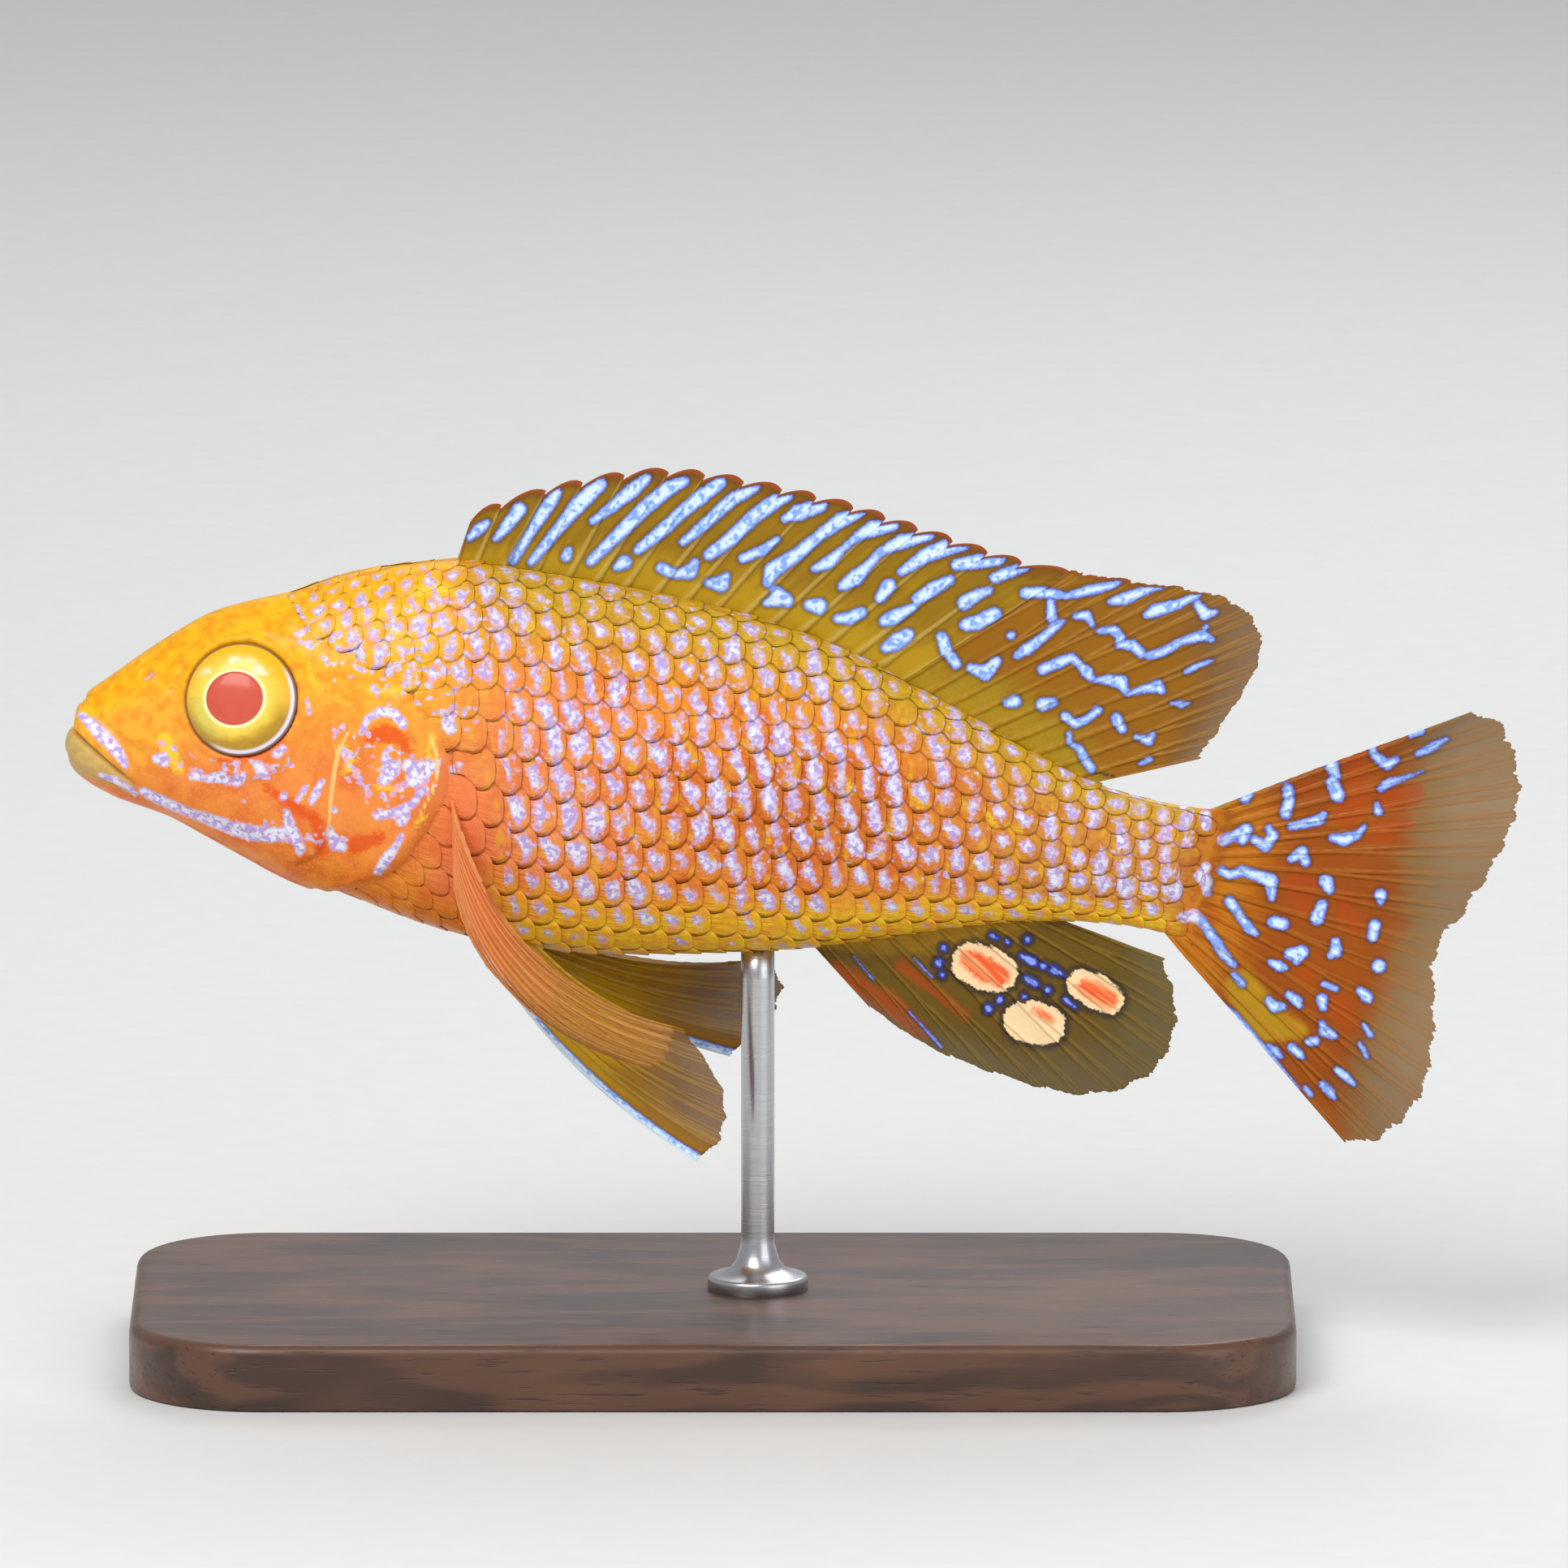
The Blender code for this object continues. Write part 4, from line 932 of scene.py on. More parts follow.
# %% Pale marks of the tail fin
CAUDAL_PALE = [
    [(1483, 1003, 6), (1485, 1018, 6)],
    [(1462, 1040, 5)],
    [(1456, 1076, 4), (1453, 1090, 5), (1448, 1106, 4)],
    [(1503, 985, 4), (1508, 975, 6)],
    [(1533, 983, 7), (1540, 969, 7), (1545, 962, 4)],
    [(1579, 956, 7), (1585, 950, 5)],
    [(1585, 970, 7), (1588, 985, 7), (1583, 1001, 8)],
    [(1590, 1018, 5), (1605, 1015, 6), (1624, 1010, 7), (1630, 1003, 4)],
    [(1640, 945, 9), (1645, 955, 5)],
    [(1640, 963, 8), (1647, 980, 9)],
    [(1688, 920, 5), (1692, 930, 6), (1708, 942, 7), (1718, 935, 5)],
    [(1735, 905, 3), (1750, 900, 3)],
    [(1745, 928, 4), (1765, 918, 6), (1780, 910, 3)],
    [(1700, 972, 5), (1708, 965, 6), (1730, 958, 3), (1752, 950, 1.5)],
    [(1695, 990, 3), (1697, 1000, 6)],
    [(1640, 1032, 5), (1655, 1035, 8), (1672, 1028, 5), (1680, 1018, 3)],
    [(1507, 1035, 7), (1520, 1028, 6), (1535, 1022, 8), (1530, 1035, 6)],
    [(1545, 1035, 6), (1558, 1042, 7), (1568, 1030, 7), (1562, 1020, 5)],
    [(1590, 1058, 5), (1603, 1050, 8), (1608, 1062, 6)],
    [(1485, 1068, 5), (1477, 1080, 6), (1486, 1086, 7), (1487, 1099, 5)],
    [(1505, 1072, 6), (1515, 1078, 5), (1530, 1072, 7), (1550, 1078, 7), (1565, 1085, 9), (1566, 1106, 5)],
    [(1515, 1110, 7), (1525, 1125, 6), (1540, 1145, 6), (1547, 1150, 4)],
    [(1455, 1130, 5), (1470, 1128, 7), (1483, 1138, 6), (1495, 1155, 6), (1505, 1172, 7), (1520, 1188, 5)],
    [(1520, 1200, 4), (1530, 1212, 5)],
    [(1569, 1136, 8), (1580, 1138, 8)],
    [(1633, 1085, 9), (1637, 1095, 6)],
    [(1628, 1115, 7), (1622, 1131, 9)],
    [(1700, 1102, 8), (1700, 1110, 5)],
    [(1693, 1140, 8), (1690, 1155, 6)],
    [(1698, 1190, 9)],
    [(1645, 1160, 6), (1645, 1172, 8), (1638, 1178, 4)],
    [(1588, 1175, 7), (1603, 1173, 9), (1597, 1183, 6)],
    [(1565, 1185, 4), (1575, 1190, 7), (1583, 1192, 4)],
    [(1630, 1212, 4), (1645, 1218, 4)],
    [(1628, 1231, 8), (1630, 1241, 5)],
    [(1563, 1232, 5), (1570, 1240, 7), (1580, 1240, 5)],
    [(1588, 1225, 5), (1598, 1233, 7), (1601, 1239, 4)],
    [(1675, 1220, 5), (1683, 1228, 8), (1685, 1232, 5)],
    [(1628, 1260, 4), (1632, 1270, 8), (1642, 1275, 6)],
    [(1612, 1283, 5), (1620, 1282, 6)],
    [(1592, 1290, 6), (1600, 1297, 6), (1605, 1302, 3)],
    [(1563, 1288, 3), (1572, 1295, 5), (1578, 1302, 3)],
    [(1680, 1262, 3), (1688, 1275, 4)],
    [(1675, 1285, 3), (1683, 1300, 4)],
    [(1648, 1318, 5), (1658, 1325, 6), (1668, 1335, 3)],
    [(1630, 1335, 5), (1640, 1345, 6), (1645, 1352, 3)],
    [(1608, 1340, 3), (1615, 1348, 4)],
    [(1456, 1180, 2), (1490, 1226, 3), (1521, 1251, 5), (1560, 1294, 4), (1600, 1342, 2)],
]
TAIL_MARKS_FROM = 1440
print("strokes on the tail fin:", len(CAUDAL_PALE))

# %% [markdown]
# Areas blend into each other over many scales, so they are smooth steps. Marks have an edge, so they
# are depths, and the material cuts them off at 0.


# %% Values of skin and scales
def body_values(points, station, rise):
    """The numbers that the skin and the scales hold. Areas run from 0 to 1, each by smooth steps of
    the pixel and of share, the height from the underside (0) to the back (1). Marks are depths."""
    px, py = photo_place(points)
    x, z = points[..., 0], points[..., 2]
    low = np.interp(x, BODY_RINGS[:, 2], BODY_RINGS[:, 3])
    top = np.interp(x, BODY_RINGS[:, 0], BODY_RINGS[:, 1])
    share = (z - low) / np.maximum(top - low, 1.0)
    head = step(px, 640, 520)
    below_mouth = past_line(x, z, [MOUTH_FRONT, MOUTH_CORNER]) < 0.1
    spread = ((px - 1020) / 230) ** 2 + ((py - 1000) / 105) ** 2
    behind = past_tail_root(x, z)
    tail_marks = np.where(px > TAIL_MARKS_FROM, stroke_depth(px, py, CAUDAL_PALE) + 0.08, FAR)
    sprinkle = 0.62 * step(px, 560, 640) * step(px, 1380, 1150) * step(share, 0.12, 0.24)
    return {
        "spot": np.where(past_line(x, z, SCALED_LINE) > 0.7, spot_depth(station, rise), FAR),
        # Pale marks, with the painted highlight on the nostril among them.
        "pale": np.maximum(stroke_depth(px, py, PALE_STROKES_AND_HIGHLIGHT), tail_marks),
        "speckled": np.maximum(step(stroke_depth(px, py, SPECKLED), -1.2, 1.0), sprinkle),
        "tail": step(behind, -3.2, 0.2),
        "fade": step(behind, 1.7, 0.1),
        "edge": stroke_depth(px, py, EDGE_STROKES),
        "yellow": stroke_depth(px, py, YELLOW_STROKES),
        "ruddy": stroke_depth(px, py, RUDDY_STROKES),
        "coral": step(stroke_depth(px, py, CORAL_STROKES), -1.7, 1.1),
        "beige": below_mouth * step(stroke_depth(px, py, BEIGE_STROKES), -0.4, 0.5),
        "crown": head * step(share + 0.28 * step(px, 290, 150), 0.36, 0.74),
        "back": (1 - head) * step(share, 0.70, 0.98),
        "belly": step(px, 540, 680) * step(share, 0.24, 0.08),
        "rust": np.exp(-spread),
        "rear": step(px, 1080, 1320),
        "blush": step(px, 860, 640) * step(share, 0.86, 0.62) * step(share, 0.12, 0.3) * (1 - 0.5 * head),
        "head": head,
    }


print("half a millimetre inside a dot:", stroke_depth(*np.zeros((2, 1)), [[(0, 0, 0.5 / PHOTO_SCALE)]]))

# %% [markdown]
# ## Painting the fish
# Real colour comes in layers, and so does this graph: a mottled orange ground, then the areas, then
# the lilac spots with a whiter core. Noise frays every edge, because a spot on skin is made of cells.


# %% Colours of skin and scales
def paint_body(finish):
    """The body's colour from the values of body_values: a mottled ground, then the areas, then the
    marks, whose edges fray and round off with the noise."""
    cloud, lump, fine = finish.noise(3.2, 3.0), finish.noise(0.9), finish.noise(0.28)
    value, mix, rise, mottle = finish.value, finish.mix, finish.rise, finish.mottle
    crown = mottle(lump, 0.35, 0.7, (248, 184, 16), (238, 156, 10))
    crown = mix(rise(finish.noise(2.4, 2.0), 0.5, 0.72) * 0.7, crown, srgb(252, 198, 20))
    gold = rise(finish.noise(0.85, 1.0, (1, 1, 2.2)), 0.55, 0.68) * (1 - value("head"))
    fray = (fine - 0.5) * 1.1 + (lump - 0.5) * 0.5
    core, soft = finish.noise(0.5, 1.0), (fine - 0.5) * 0.4 + (lump - 0.5) * 0.8
    spot = finish.larger(value("spot") + soft, value("pale") + soft * 0.6)
    lilac = mottle(core, 0.40, 0.60, (188, 166, 228), (216, 210, 242))
    lilac = mix(rise(lump, 0.50, 0.62) * rise(spot, 0.22, 0.02), lilac, srgb(232, 170, 192))
    mark = mix(rise(spot, 0.08, 0.34) * rise(core, 0.42, 0.58), lilac, srgb(236, 240, 250))
    speck = rise(finish.noise(0.85, 1.0) + value("speckled") * 0.3, 0.84, 0.90)
    return finish.layers(mottle(cloud, 0.38, 0.64, (246, 146, 48), (230, 114, 34)), [
        (rise(fine, 0.50, 0.68) * 0.4, srgb(255, 158, 84)),
        (value("crown"), crown),
        (value("rust") * 0.8, mottle(lump, 0.4, 0.62, (206, 110, 34), (180, 78, 20))),
        (value("rear") * 0.8, mottle(lump, 0.4, 0.62, (202, 144, 56), (188, 116, 44))),
        (value("blush") * 0.55, mottle(lump, 0.4, 0.6, (242, 148, 96), (234, 126, 80))),
        (value("back"), mottle(lump, 0.38, 0.66, (212, 166, 40), (192, 144, 30))),
        (value("belly"), mottle(lump, 0.4, 0.66, (255, 204, 44), (252, 170, 56))),
        (gold * 0.65, srgb(234, 172, 34)),
        (value("tail") * 0.9, mottle(lump, 0.4, 0.62, (198, 120, 22), (184, 94, 16))),
        (value("coral") * 0.9, mix(cloud, srgb(248, 132, 80), srgb(238, 112, 60))),
        (value("beige") * 0.9, mix(lump, srgb(216, 186, 110), srgb(178, 148, 86))),
        (rise(value("yellow") + fray, -0.1, 0.45) * 0.8, srgb(255, 212, 54)),
        (rise(value("ruddy") + fray, -0.2, 0.4) * 0.8, srgb(232, 78, 10)),
        (finish.larger(rise(spot, -0.12, 0.12) * 0.94, speck * 0.85), mark),
        (rise(value("edge"), -0.02, 0.14) * 0.8, srgb(255, 214, 130)),
    ])


WET = {"Subsurface_Weight": 0.04, "Subsurface_Scale": 0.001, "Coat_Roughness": 0.1, "IOR": 1.4,
       "Specular_IOR_Level": 0.2}
skin_finish = Finish("wet skin", Coat_Weight=0.16, **WET)
pebble = skin_finish.noise(0.22, 3.0) * 0.6 + skin_finish.noise(0.9, 2.0) * 0.4
skin_finish.shade(
    Base_Color=paint_body(skin_finish),
    Roughness=0.30 + skin_finish.noise(0.7, 3.0) * 0.18,
    Alpha=skin_finish.value("fade"),
    Normal=skin_finish.bump(pebble, 0.07),
)
print("skin graph:", len(skin_finish.tree.nodes), "nodes")

# %% [markdown]
# ## The skin
# One closed grid from the lips to the root of the tail fin, so that no seam shows where the solids
# are parted. Its rings stand closest on the snout, and its columns are spread evenly round the tall,
# narrow section. SKIN_SPREAD says which station each share of the rows has reached.

# %% Skin
SKIN_ROWS, SKIN_COLUMNS = 418, 232
SKIN_SPREAD = [(0, 0.02), (0.10, 2.0), (0.47, 12.0), (1, LAST_RING - 0.03)]
SKIN_GATHER = 0.15
SNOUT_ROUNDING = 0.35
ring = np.interp(np.linspace(0, 1, SKIN_ROWS), *np.array(SKIN_SPREAD).T)
turn = np.linspace(-math.pi, math.pi, SKIN_COLUMNS, endpoint=False)
angle = turn + SKIN_GATHER * np.sin(2 * turn)
ring, angle = np.broadcast_arrays(ring[:, None], angle[None, :])
base = body_point(ring, angle)
skin = pinched(base + body_normal(ring, angle) * relief(base)[..., None])
poles = body_point(np.array([0.0, LAST_RING]), np.zeros(2))
poles[0, 0] += SNOUT_ROUNDING
values = body_values(pinched(base), np.interp(ring, RING_AXIS, STATION_AXIS), rise_at(ring, angle))
new_piece(
    "body_skin",
    np.concatenate([skin.reshape(-1, 3), poles]),
    tube_faces(SKIN_ROWS, SKIN_COLUMNS),
    skin_finish,
    "skin",
    ("head", "lower_jaw", "gill_cover_left", "gill_cover_right", "trunk", "tail_stem"),
    {key: with_poles(held) for key, held in values.items()},
)

# %% [markdown]
# ## Scales
# A scale is a thin flat pod: its front lies sunk in the skin and its rear edge stands a tenth of a
# millimetre proud over the next one. One shape is worked out once, and each scale is that shape
# laid at its own place in the lattice: its points are moved along the flank's own coordinates, so
# that it bends with the body.

# %% One scale
SCALE_SIDES, SCALE_RINGS = 8, 6
HALF_LENGTH, HALF_WIDTH, THICKNESS = 0.84, 0.72, 0.06
TILT, NAPE_TILT = 0.105, 0.05
SCALED_FROM, SCALES_END = 1.0, -0.9
NAPE_STATION, TOP_GAP, LOW_GAP = -50.0, 0.5, 0.4


def scale_shape():
    """Along, across and up, each from -1 to 1: rings round an oval pod from its root to its free
    edge. Powers of the sine and cosine blunt the edge and flatten the two faces."""
    phi = np.linspace(0, math.pi, SCALE_RINGS + 2)[1:-1, None]
    theta = np.linspace(0, 2 * math.pi, SCALE_SIDES, endpoint=False)[None, :]
    length = -blunted(np.cos(phi), 0.8) + 0 * theta
    across = np.sin(phi) ** 0.75 * np.cos(theta)
    up = blunted(np.sin(theta), 0.5) * np.sin(phi) ** 0.3
    pod = np.stack([length, across, up], axis=-1).reshape(-1, 3)
    return np.concatenate([pod, [(-1.0, 0.0, 0.0), (1.0, 0.0, 0.0)]])


SCALE = scale_shape()
bare = past_line(cell_x, cell_z, SCALED_LINE) < SCALED_FROM
top_rise = np.interp(cell_station, STATION_AXIS, RISE_TOP)
low_rise = np.interp(cell_station, STATION_AXIS, RISE_LOW)
off = (cell_rise > top_rise - TOP_GAP) | (cell_rise < -low_rise - LOW_GAP)
off |= (cell_station <= NAPE_STATION) | (cell_behind > SCALES_END)
i_used, j_used = np.nonzero(~(bare | off))
print("scales on each flank:", len(i_used))

# %% [markdown]
# The scales' finish is the skin's, with two things added in the relief: the fine rings by which a
# scale grows, and the fan of grooves towards its root.

# %% Scale finish
scale_finish = Finish("wet scales", Coat_Weight=0.2, **WET)
growth = scale_finish.math("SINE", scale_finish.value("reach") * 60)
grooves = scale_finish.math("COSINE", scale_finish.value("fan") * 26)
ribbing = growth * 0.25 + grooves * 0.35 + scale_finish.noise(0.25, 2.0)
scale_finish.shade(
    Base_Color=paint_body(scale_finish),
    Roughness=0.26 + scale_finish.noise(0.5, 3.0) * 0.16,
    Normal=scale_finish.bump(ribbing, 0.035),
)
print("scale graph:", len(scale_finish.tree.nodes), "nodes")

# %% [markdown]
# The scales are laid in four pieces, front and rear of each flank. Each scale's points also get a
# small patch of the coat's map, at its place on the body.

# %% Scales of both flanks
SIDES = ((-1, "left"), (1, "right"))
FRONT_STATION = -9.0
DROOP, STAND = 0.04, 0.11
PIPE = (0.06, 0.0, 0.12)
PATCH = 0.0015


def lay_scales(name, cells, side):
    """Lays the scale's shape at each cell. It tilts up to its free edge, its sides droop a little,
    and a low pipe runs along the scales of the lateral line."""
    i, j = cells
    way, across, face = SCALE.T
    station, row = cell_station[i, j][:, None], ROWS[i][:, None]
    length = HALF_LENGTH * pitch(COLUMN_PITCH, station) * (0.96 + 0.08 * chance[4][i, j][:, None])
    at = station + way * length
    rise = rise_of(row + across * HALF_WIDTH, at)
    ring, angle = place_on_flank(at, rise, side)
    lateral = ((row == 2) & (station < 16)) | ((row == 0) & (station > 13))
    pipe = bank(across, *PIPE) * lateral * (way > -0.1) * (face > 0)
    tilt = TILT + (NAPE_TILT - TILT) * step(station, -26.0, -36.0)
    up = tilt * way * length / 1.8 + THICKNESS / 2 * face + pipe - DROOP * across**2 + STAND - SCALE_BED
    base = body_point(ring, angle)
    points = pinched(base + body_normal(ring, angle) * up[..., None])
    values = body_values(pinched(base), at, rise)
    values["reach"] = np.broadcast_to(np.hypot(way, across), at.shape)
    values["fan"] = np.broadcast_to(np.arctan2(across, way + 1.3), at.shape)
    values = {key: held.ravel() for key, held in values.items()}
    root_ring, root_angle = place_on_flank(station, cell_rise[i, j][:, None], side)
    root = np.stack([root_ring / LAST_RING, root_angle / (2 * math.pi) % 1.0], axis=-1)
    patches = (root + SCALE[:, :2] * PATCH).reshape(-1, 2)
    start = np.arange(len(i))[:, None, None] * len(SCALE)
    shape = tube_faces(SCALE_RINGS, SCALE_SIDES)
    faces = [(group + start).reshape(-1, group.shape[1]) for group in shape]
    new_piece(name, points.reshape(-1, 3), faces, scale_finish, "skin", (), values, patches)


for side, word in SIDES:
    ahead = cell_station[i_used, j_used] < FRONT_STATION
    lay_scales(f"scales_front_{word}", (i_used[ahead], j_used[ahead]), side)
    lay_scales(f"scales_rear_{word}", (i_used[~ahead], j_used[~ahead]), side)

# %% [markdown]
# ## Eyes
# The eye of this pale breed has a salmon pupil in a yellow iris. A fish's lens reaches through the
# pupil, so the middle bulges. The eyeball is a flat dome in the skin's ring, and the colours follow
# the distance from the pupil and from the rim. Light is painted into the iris too: a cream highlight
# on its upper part and a brassy shade on its lower part. A clear coat stands for the cornea.

# %% Eye shape and finish
PUPIL_RADIUS, PUPIL_SHIFT, PUPIL_SQUASH = 2.6, -0.36, 1.08
PUPIL_GROOVE = (-0.07, -0.12, 0.16)
EYE_DOME, LENS_BULGE, EYE_GAP = 2.25, 0.14, 0.06
EYE_EDGE, EYE_PLATE = 2.2, -2.0
EYE_ROWS, EYE_COLUMNS = 70, 96
GLASSY = {"Roughness": 0.3, "Coat_Weight": 0.35, "Coat_Roughness": 0.12, "Specular_IOR_Level": 0.2}
eye_finish = Finish("glassy eye", **GLASSY)
value, mix, rise = eye_finish.value, eye_finish.mix, eye_finish.rise
cloud, streak = eye_finish.noise(1.3, 2.0), eye_finish.noise(0.35, 3.0)
outer, up, rear, rim, inner = (value(name) for name in ("outer", "up", "rear", "rim", "pupil"))
# Painted shade: the lower, outer iris turns a dark brass.
painted_low_shade = rise(outer + (cloud - 0.5) * 0.5, 0.25, 0.75) * rise(up, 0.15, -0.45)
# Painted highlight: a cream patch on the upper iris.
white = rise(cloud, 0.50, 0.62) * rise(up, 0.25, 0.55) * rise(outer, 0.8, 0.3)
green = rise(rear, -0.2, -0.55) * rise(up, 0.2, -0.1) * rise(outer, 0.9, 0.3)
iris = eye_finish.mottle(outer, 0.0, 1.0, (253, 220, 92), (246, 186, 24))
eye_colour = eye_finish.layers(iris, [
    # The painted shade, then the painted highlight.
    (painted_low_shade, mix(cloud, srgb(158, 120, 26), srgb(206, 160, 42))),
    (white * 0.8, srgb(250, 244, 224)),
    (green * 0.55, srgb(200, 206, 104)),
    (rise(streak, 0.45, 0.75) * 0.25, srgb(196, 156, 40)),
    (rise(inner, -0.42, -0.12) * 0.8, srgb(255, 250, 196)),
    (rise(rim, 0.62, 0.40) * rise(rear - up, 0.1, 0.7), srgb(240, 234, 246)),
    (rise(rim, 0.30, 0.14) * 0.9, srgb(120, 78, 62)),
    (rise(inner, -0.04, 0.05), mix(cloud, srgb(218, 96, 74), srgb(202, 80, 64))),
])
fibres = streak * (1 - rise(inner, -0.1, 0.1))
eye_finish.shade(Base_Color=eye_colour, Normal=eye_finish.bump(fibres, 0.03))


def make_eye(word, side):
    """A dome over a disc: the height falls as a power of the radius, with a raised lens, and the
    back is a flat plate under the skin. Radius and height are laid off along the flank's normal."""
    point, normal = flank_point(*EYE_AT, side)
    rearward = unit(np.array([1.0, 0, 0]) - normal * normal[0])
    upward = np.cross(normal, rearward) * (-side)
    way = np.linspace(0, 1, EYE_ROWS + 1)[1:, None]
    turn = np.linspace(0, 2 * math.pi, EYE_COLUMNS, endpoint=False)[None, :]
    radius = (EYE_RADIUS - EYE_GAP) * np.sin(np.minimum(way * 1.12, 1.0) * math.pi / 2) + 0 * turn
    rear, up = radius * np.cos(turn), radius * np.sin(turn)
    inner = PUPIL_RADIUS - np.hypot(rear - PUPIL_SHIFT, up * PUPIL_SQUASH)
    height = EYE_DOME * np.sqrt(np.clip(1 - (radius / (EYE_RADIUS + 0.25)) ** 2.3, 0, 1))
    height += LENS_BULGE * np.sqrt(np.clip(1 - (1 - inner / PUPIL_RADIUS) ** 2, 0, 1)) * (inner > 0)
    height += bank(inner, *PUPIL_GROOVE) - EYE_EDGE * step(way, 0.90, 1.0)
    centre = point - normal * EYE_SINK
    points = centre + rear[..., None] * rearward + up[..., None] * upward + height[..., None] * normal
    poles = centre + np.array([[EYE_DOME + LENS_BULGE], [EYE_PLATE]]) * normal
    outer = np.clip(-inner / (EYE_RADIUS - PUPIL_RADIUS), 0, 1)
    held = {"pupil": inner, "rim": EYE_RADIUS - radius, "outer": outer}
    held.update(up=up / EYE_RADIUS, rear=rear / EYE_RADIUS)
    held = {key: with_poles(number) for key, number in held.items()}
    points = np.concatenate([points.reshape(-1, 3), poles])
    faces = tube_faces(EYE_ROWS, EYE_COLUMNS)
    new_piece(f"glass_eye_{word}", points, faces, eye_finish, "eye", (f"eye_{word}",), held)


for side, word in SIDES:
    make_eye(word, side)

# %% [markdown]
# ## Fins
# A fin is a skin stretched over rays. Each ray runs from its root to its tip along a bow, so the
# whole fin is a grid: columns across the rays and rows from root to tip. The front part of the back
# fin stands on stiff spines with a notch behind each. The other rays are soft: they fork twice and
# are made of short joints. The thickness of the sheet swells over each ray.

# %% Fin shape
FORK, FORKING = 0.17, (0.34, 0.80)
TWIG, TWIGGING = 0.075, (0.66, 1.0)
BILLOW = 0.22
RAY_HEIGHT = 0.8
JOINT_SWELL, JOINT_LENGTH = 0.12, 1.25
EDGE_THINNING = 0.55
NOTCH = 0.35


def fin_sheet(rays, way, roots, tips, bow=0.0, lift=0.0, shorter=0.0, ripple=0.0):
    """Each ray is a parabola from root to tip that leaves the straight line by bow times its length
    in the side view and by lift across the fish. shorter is how far the edge falls back, in mm, and
    ripple swings the tip out of the plane with the square of the way."""
    chord = tips - roots
    length = np.linalg.norm(chord, axis=1, keepdims=True)
    chord = chord * (1 - np.asarray(shorter).reshape(-1, 1) / length)
    arch = np.reshape(bow, (-1, 1)) * np.stack([-chord[:, 2], np.zeros(len(rays)), chord[:, 0]], axis=1)
    arch[:, 1] += lift
    wave = np.zeros((len(rays), 3))
    wave[:, 1] = ripple
    way = way[:, None, None]
    return roots + chord * way + arch * 4 * way * (1 - way) + wave * way**2


def ray_profile(rays, way, spacing, stiff, root_radius, tip_radius):
    """Height of the ray's ridge, 0 to 1, and its radius. A spine is one ridge. A soft ray forks at
    two places, so the nearest of four lines counts, which run together nearer the root."""
    across = rays - np.round(rays)
    fork = 0.0 if stiff else FORK * step(way, *FORKING)
    twig = 0.0 if stiff else TWIG * step(way, *TWIGGING)
    away = np.abs(np.abs(across[None, :]) - np.reshape(fork, (-1, 1)))
    away = np.abs(away - np.reshape(twig, (-1, 1))) * spacing
    radius = root_radius + (tip_radius - root_radius) * way[:, None]
    return np.sqrt(np.clip(1 - (away / radius) ** 2, 0, 1)), radius


def add_fin(name, nodes, points, rays, way, finish, values, stiff=False, radius=(0.36, 0.13), film=0.15):
    """A closed sheet: the grid moved both ways along its normal by half the thickness, which is the
    film's plus the ray's. The film billows a little between rays, and the free edge is thin."""
    spacing = np.linalg.norm(np.gradient(points, axis=1), axis=2) / np.gradient(rays)[None, :]
    height, reach = ray_profile(rays, way, spacing, stiff, *radius)
    normal = unit(np.cross(np.gradient(points, axis=1), np.gradient(points, axis=0)))
    bay = np.sin(math.pi * rays) ** 2 * np.sin(2.4 * np.floor(rays) + 1.0)
    points = points + normal * (BILLOW * bay * (way * (1.2 - way))[:, None])[..., None]
    thick = film + 2 * reach * height * RAY_HEIGHT * step(way, 0.0, 0.12)[:, None]
    if not stiff:
        run = way[:, None] * np.linalg.norm(points[-1] - points[0], axis=1)[None, :]
        thick *= 1 + JOINT_SWELL * height * np.cos(2 * math.pi * run / JOINT_LENGTH)
    thick *= (1 - EDGE_THINNING * step(way, 0.8, 1.0))[:, None]
    half = normal * thick[..., None] / 2
    both = np.concatenate([(points + half).reshape(-1, 3), (points - half).reshape(-1, 3)])
    held = {"ray": height, "way": way[:, None] + 0 * rays, "run": rays + 0 * way[:, None], **values}
    held = {key: np.tile(np.broadcast_to(number, height.shape).ravel(), 2) for key, number in held.items()}
    new_piece(name, both, sheet_faces(len(way), len(rays)), finish, "fin", nodes, held)


def ray_columns(first, last, each, gather=0.0):
    """Ray numbers of the grid's columns, each to a ray, gathered towards the rays by gather."""
    count = int(round((last - first) * each)) + 1
    rays = np.linspace(first, last, count)
    across = rays - np.round(rays)
    return np.round(rays) + across * (1 - gather * (1 - 4 * across**2))


def soft_edge(rays, seed, depth):
    """How far a soft fin's edge falls back, in mm: a notch between each two rays, and small uneven
    losses, which are a few sine waves that do not repeat."""
    phase = np.random.default_rng(seed).random(4) * 2 * math.pi
    waves = sum(np.sin(rays * speed + p) for speed, p in zip((7.3, 12.7, 19.1, 31.0), phase))
    return NOTCH * np.abs(np.sin(math.pi * rays)) + depth * np.abs(waves) / 2


print("columns of three rays:", len(ray_columns(0, 3, 28)))

# %% [markdown]
# The film of a fin lets light through. It is warm and dense near the body, and towards the free
# edge it turns clear and tawny. Pale blue marks lie in it, a whiter core in a blue rim, and the rays
# show as fine lines.

# %% Fin finish
FILM = {"Roughness": 0.42, "Coat_Weight": 0.12, "Coat_Roughness": 0.2, "IOR": 1.4, "Specular_IOR_Level": 0.2}


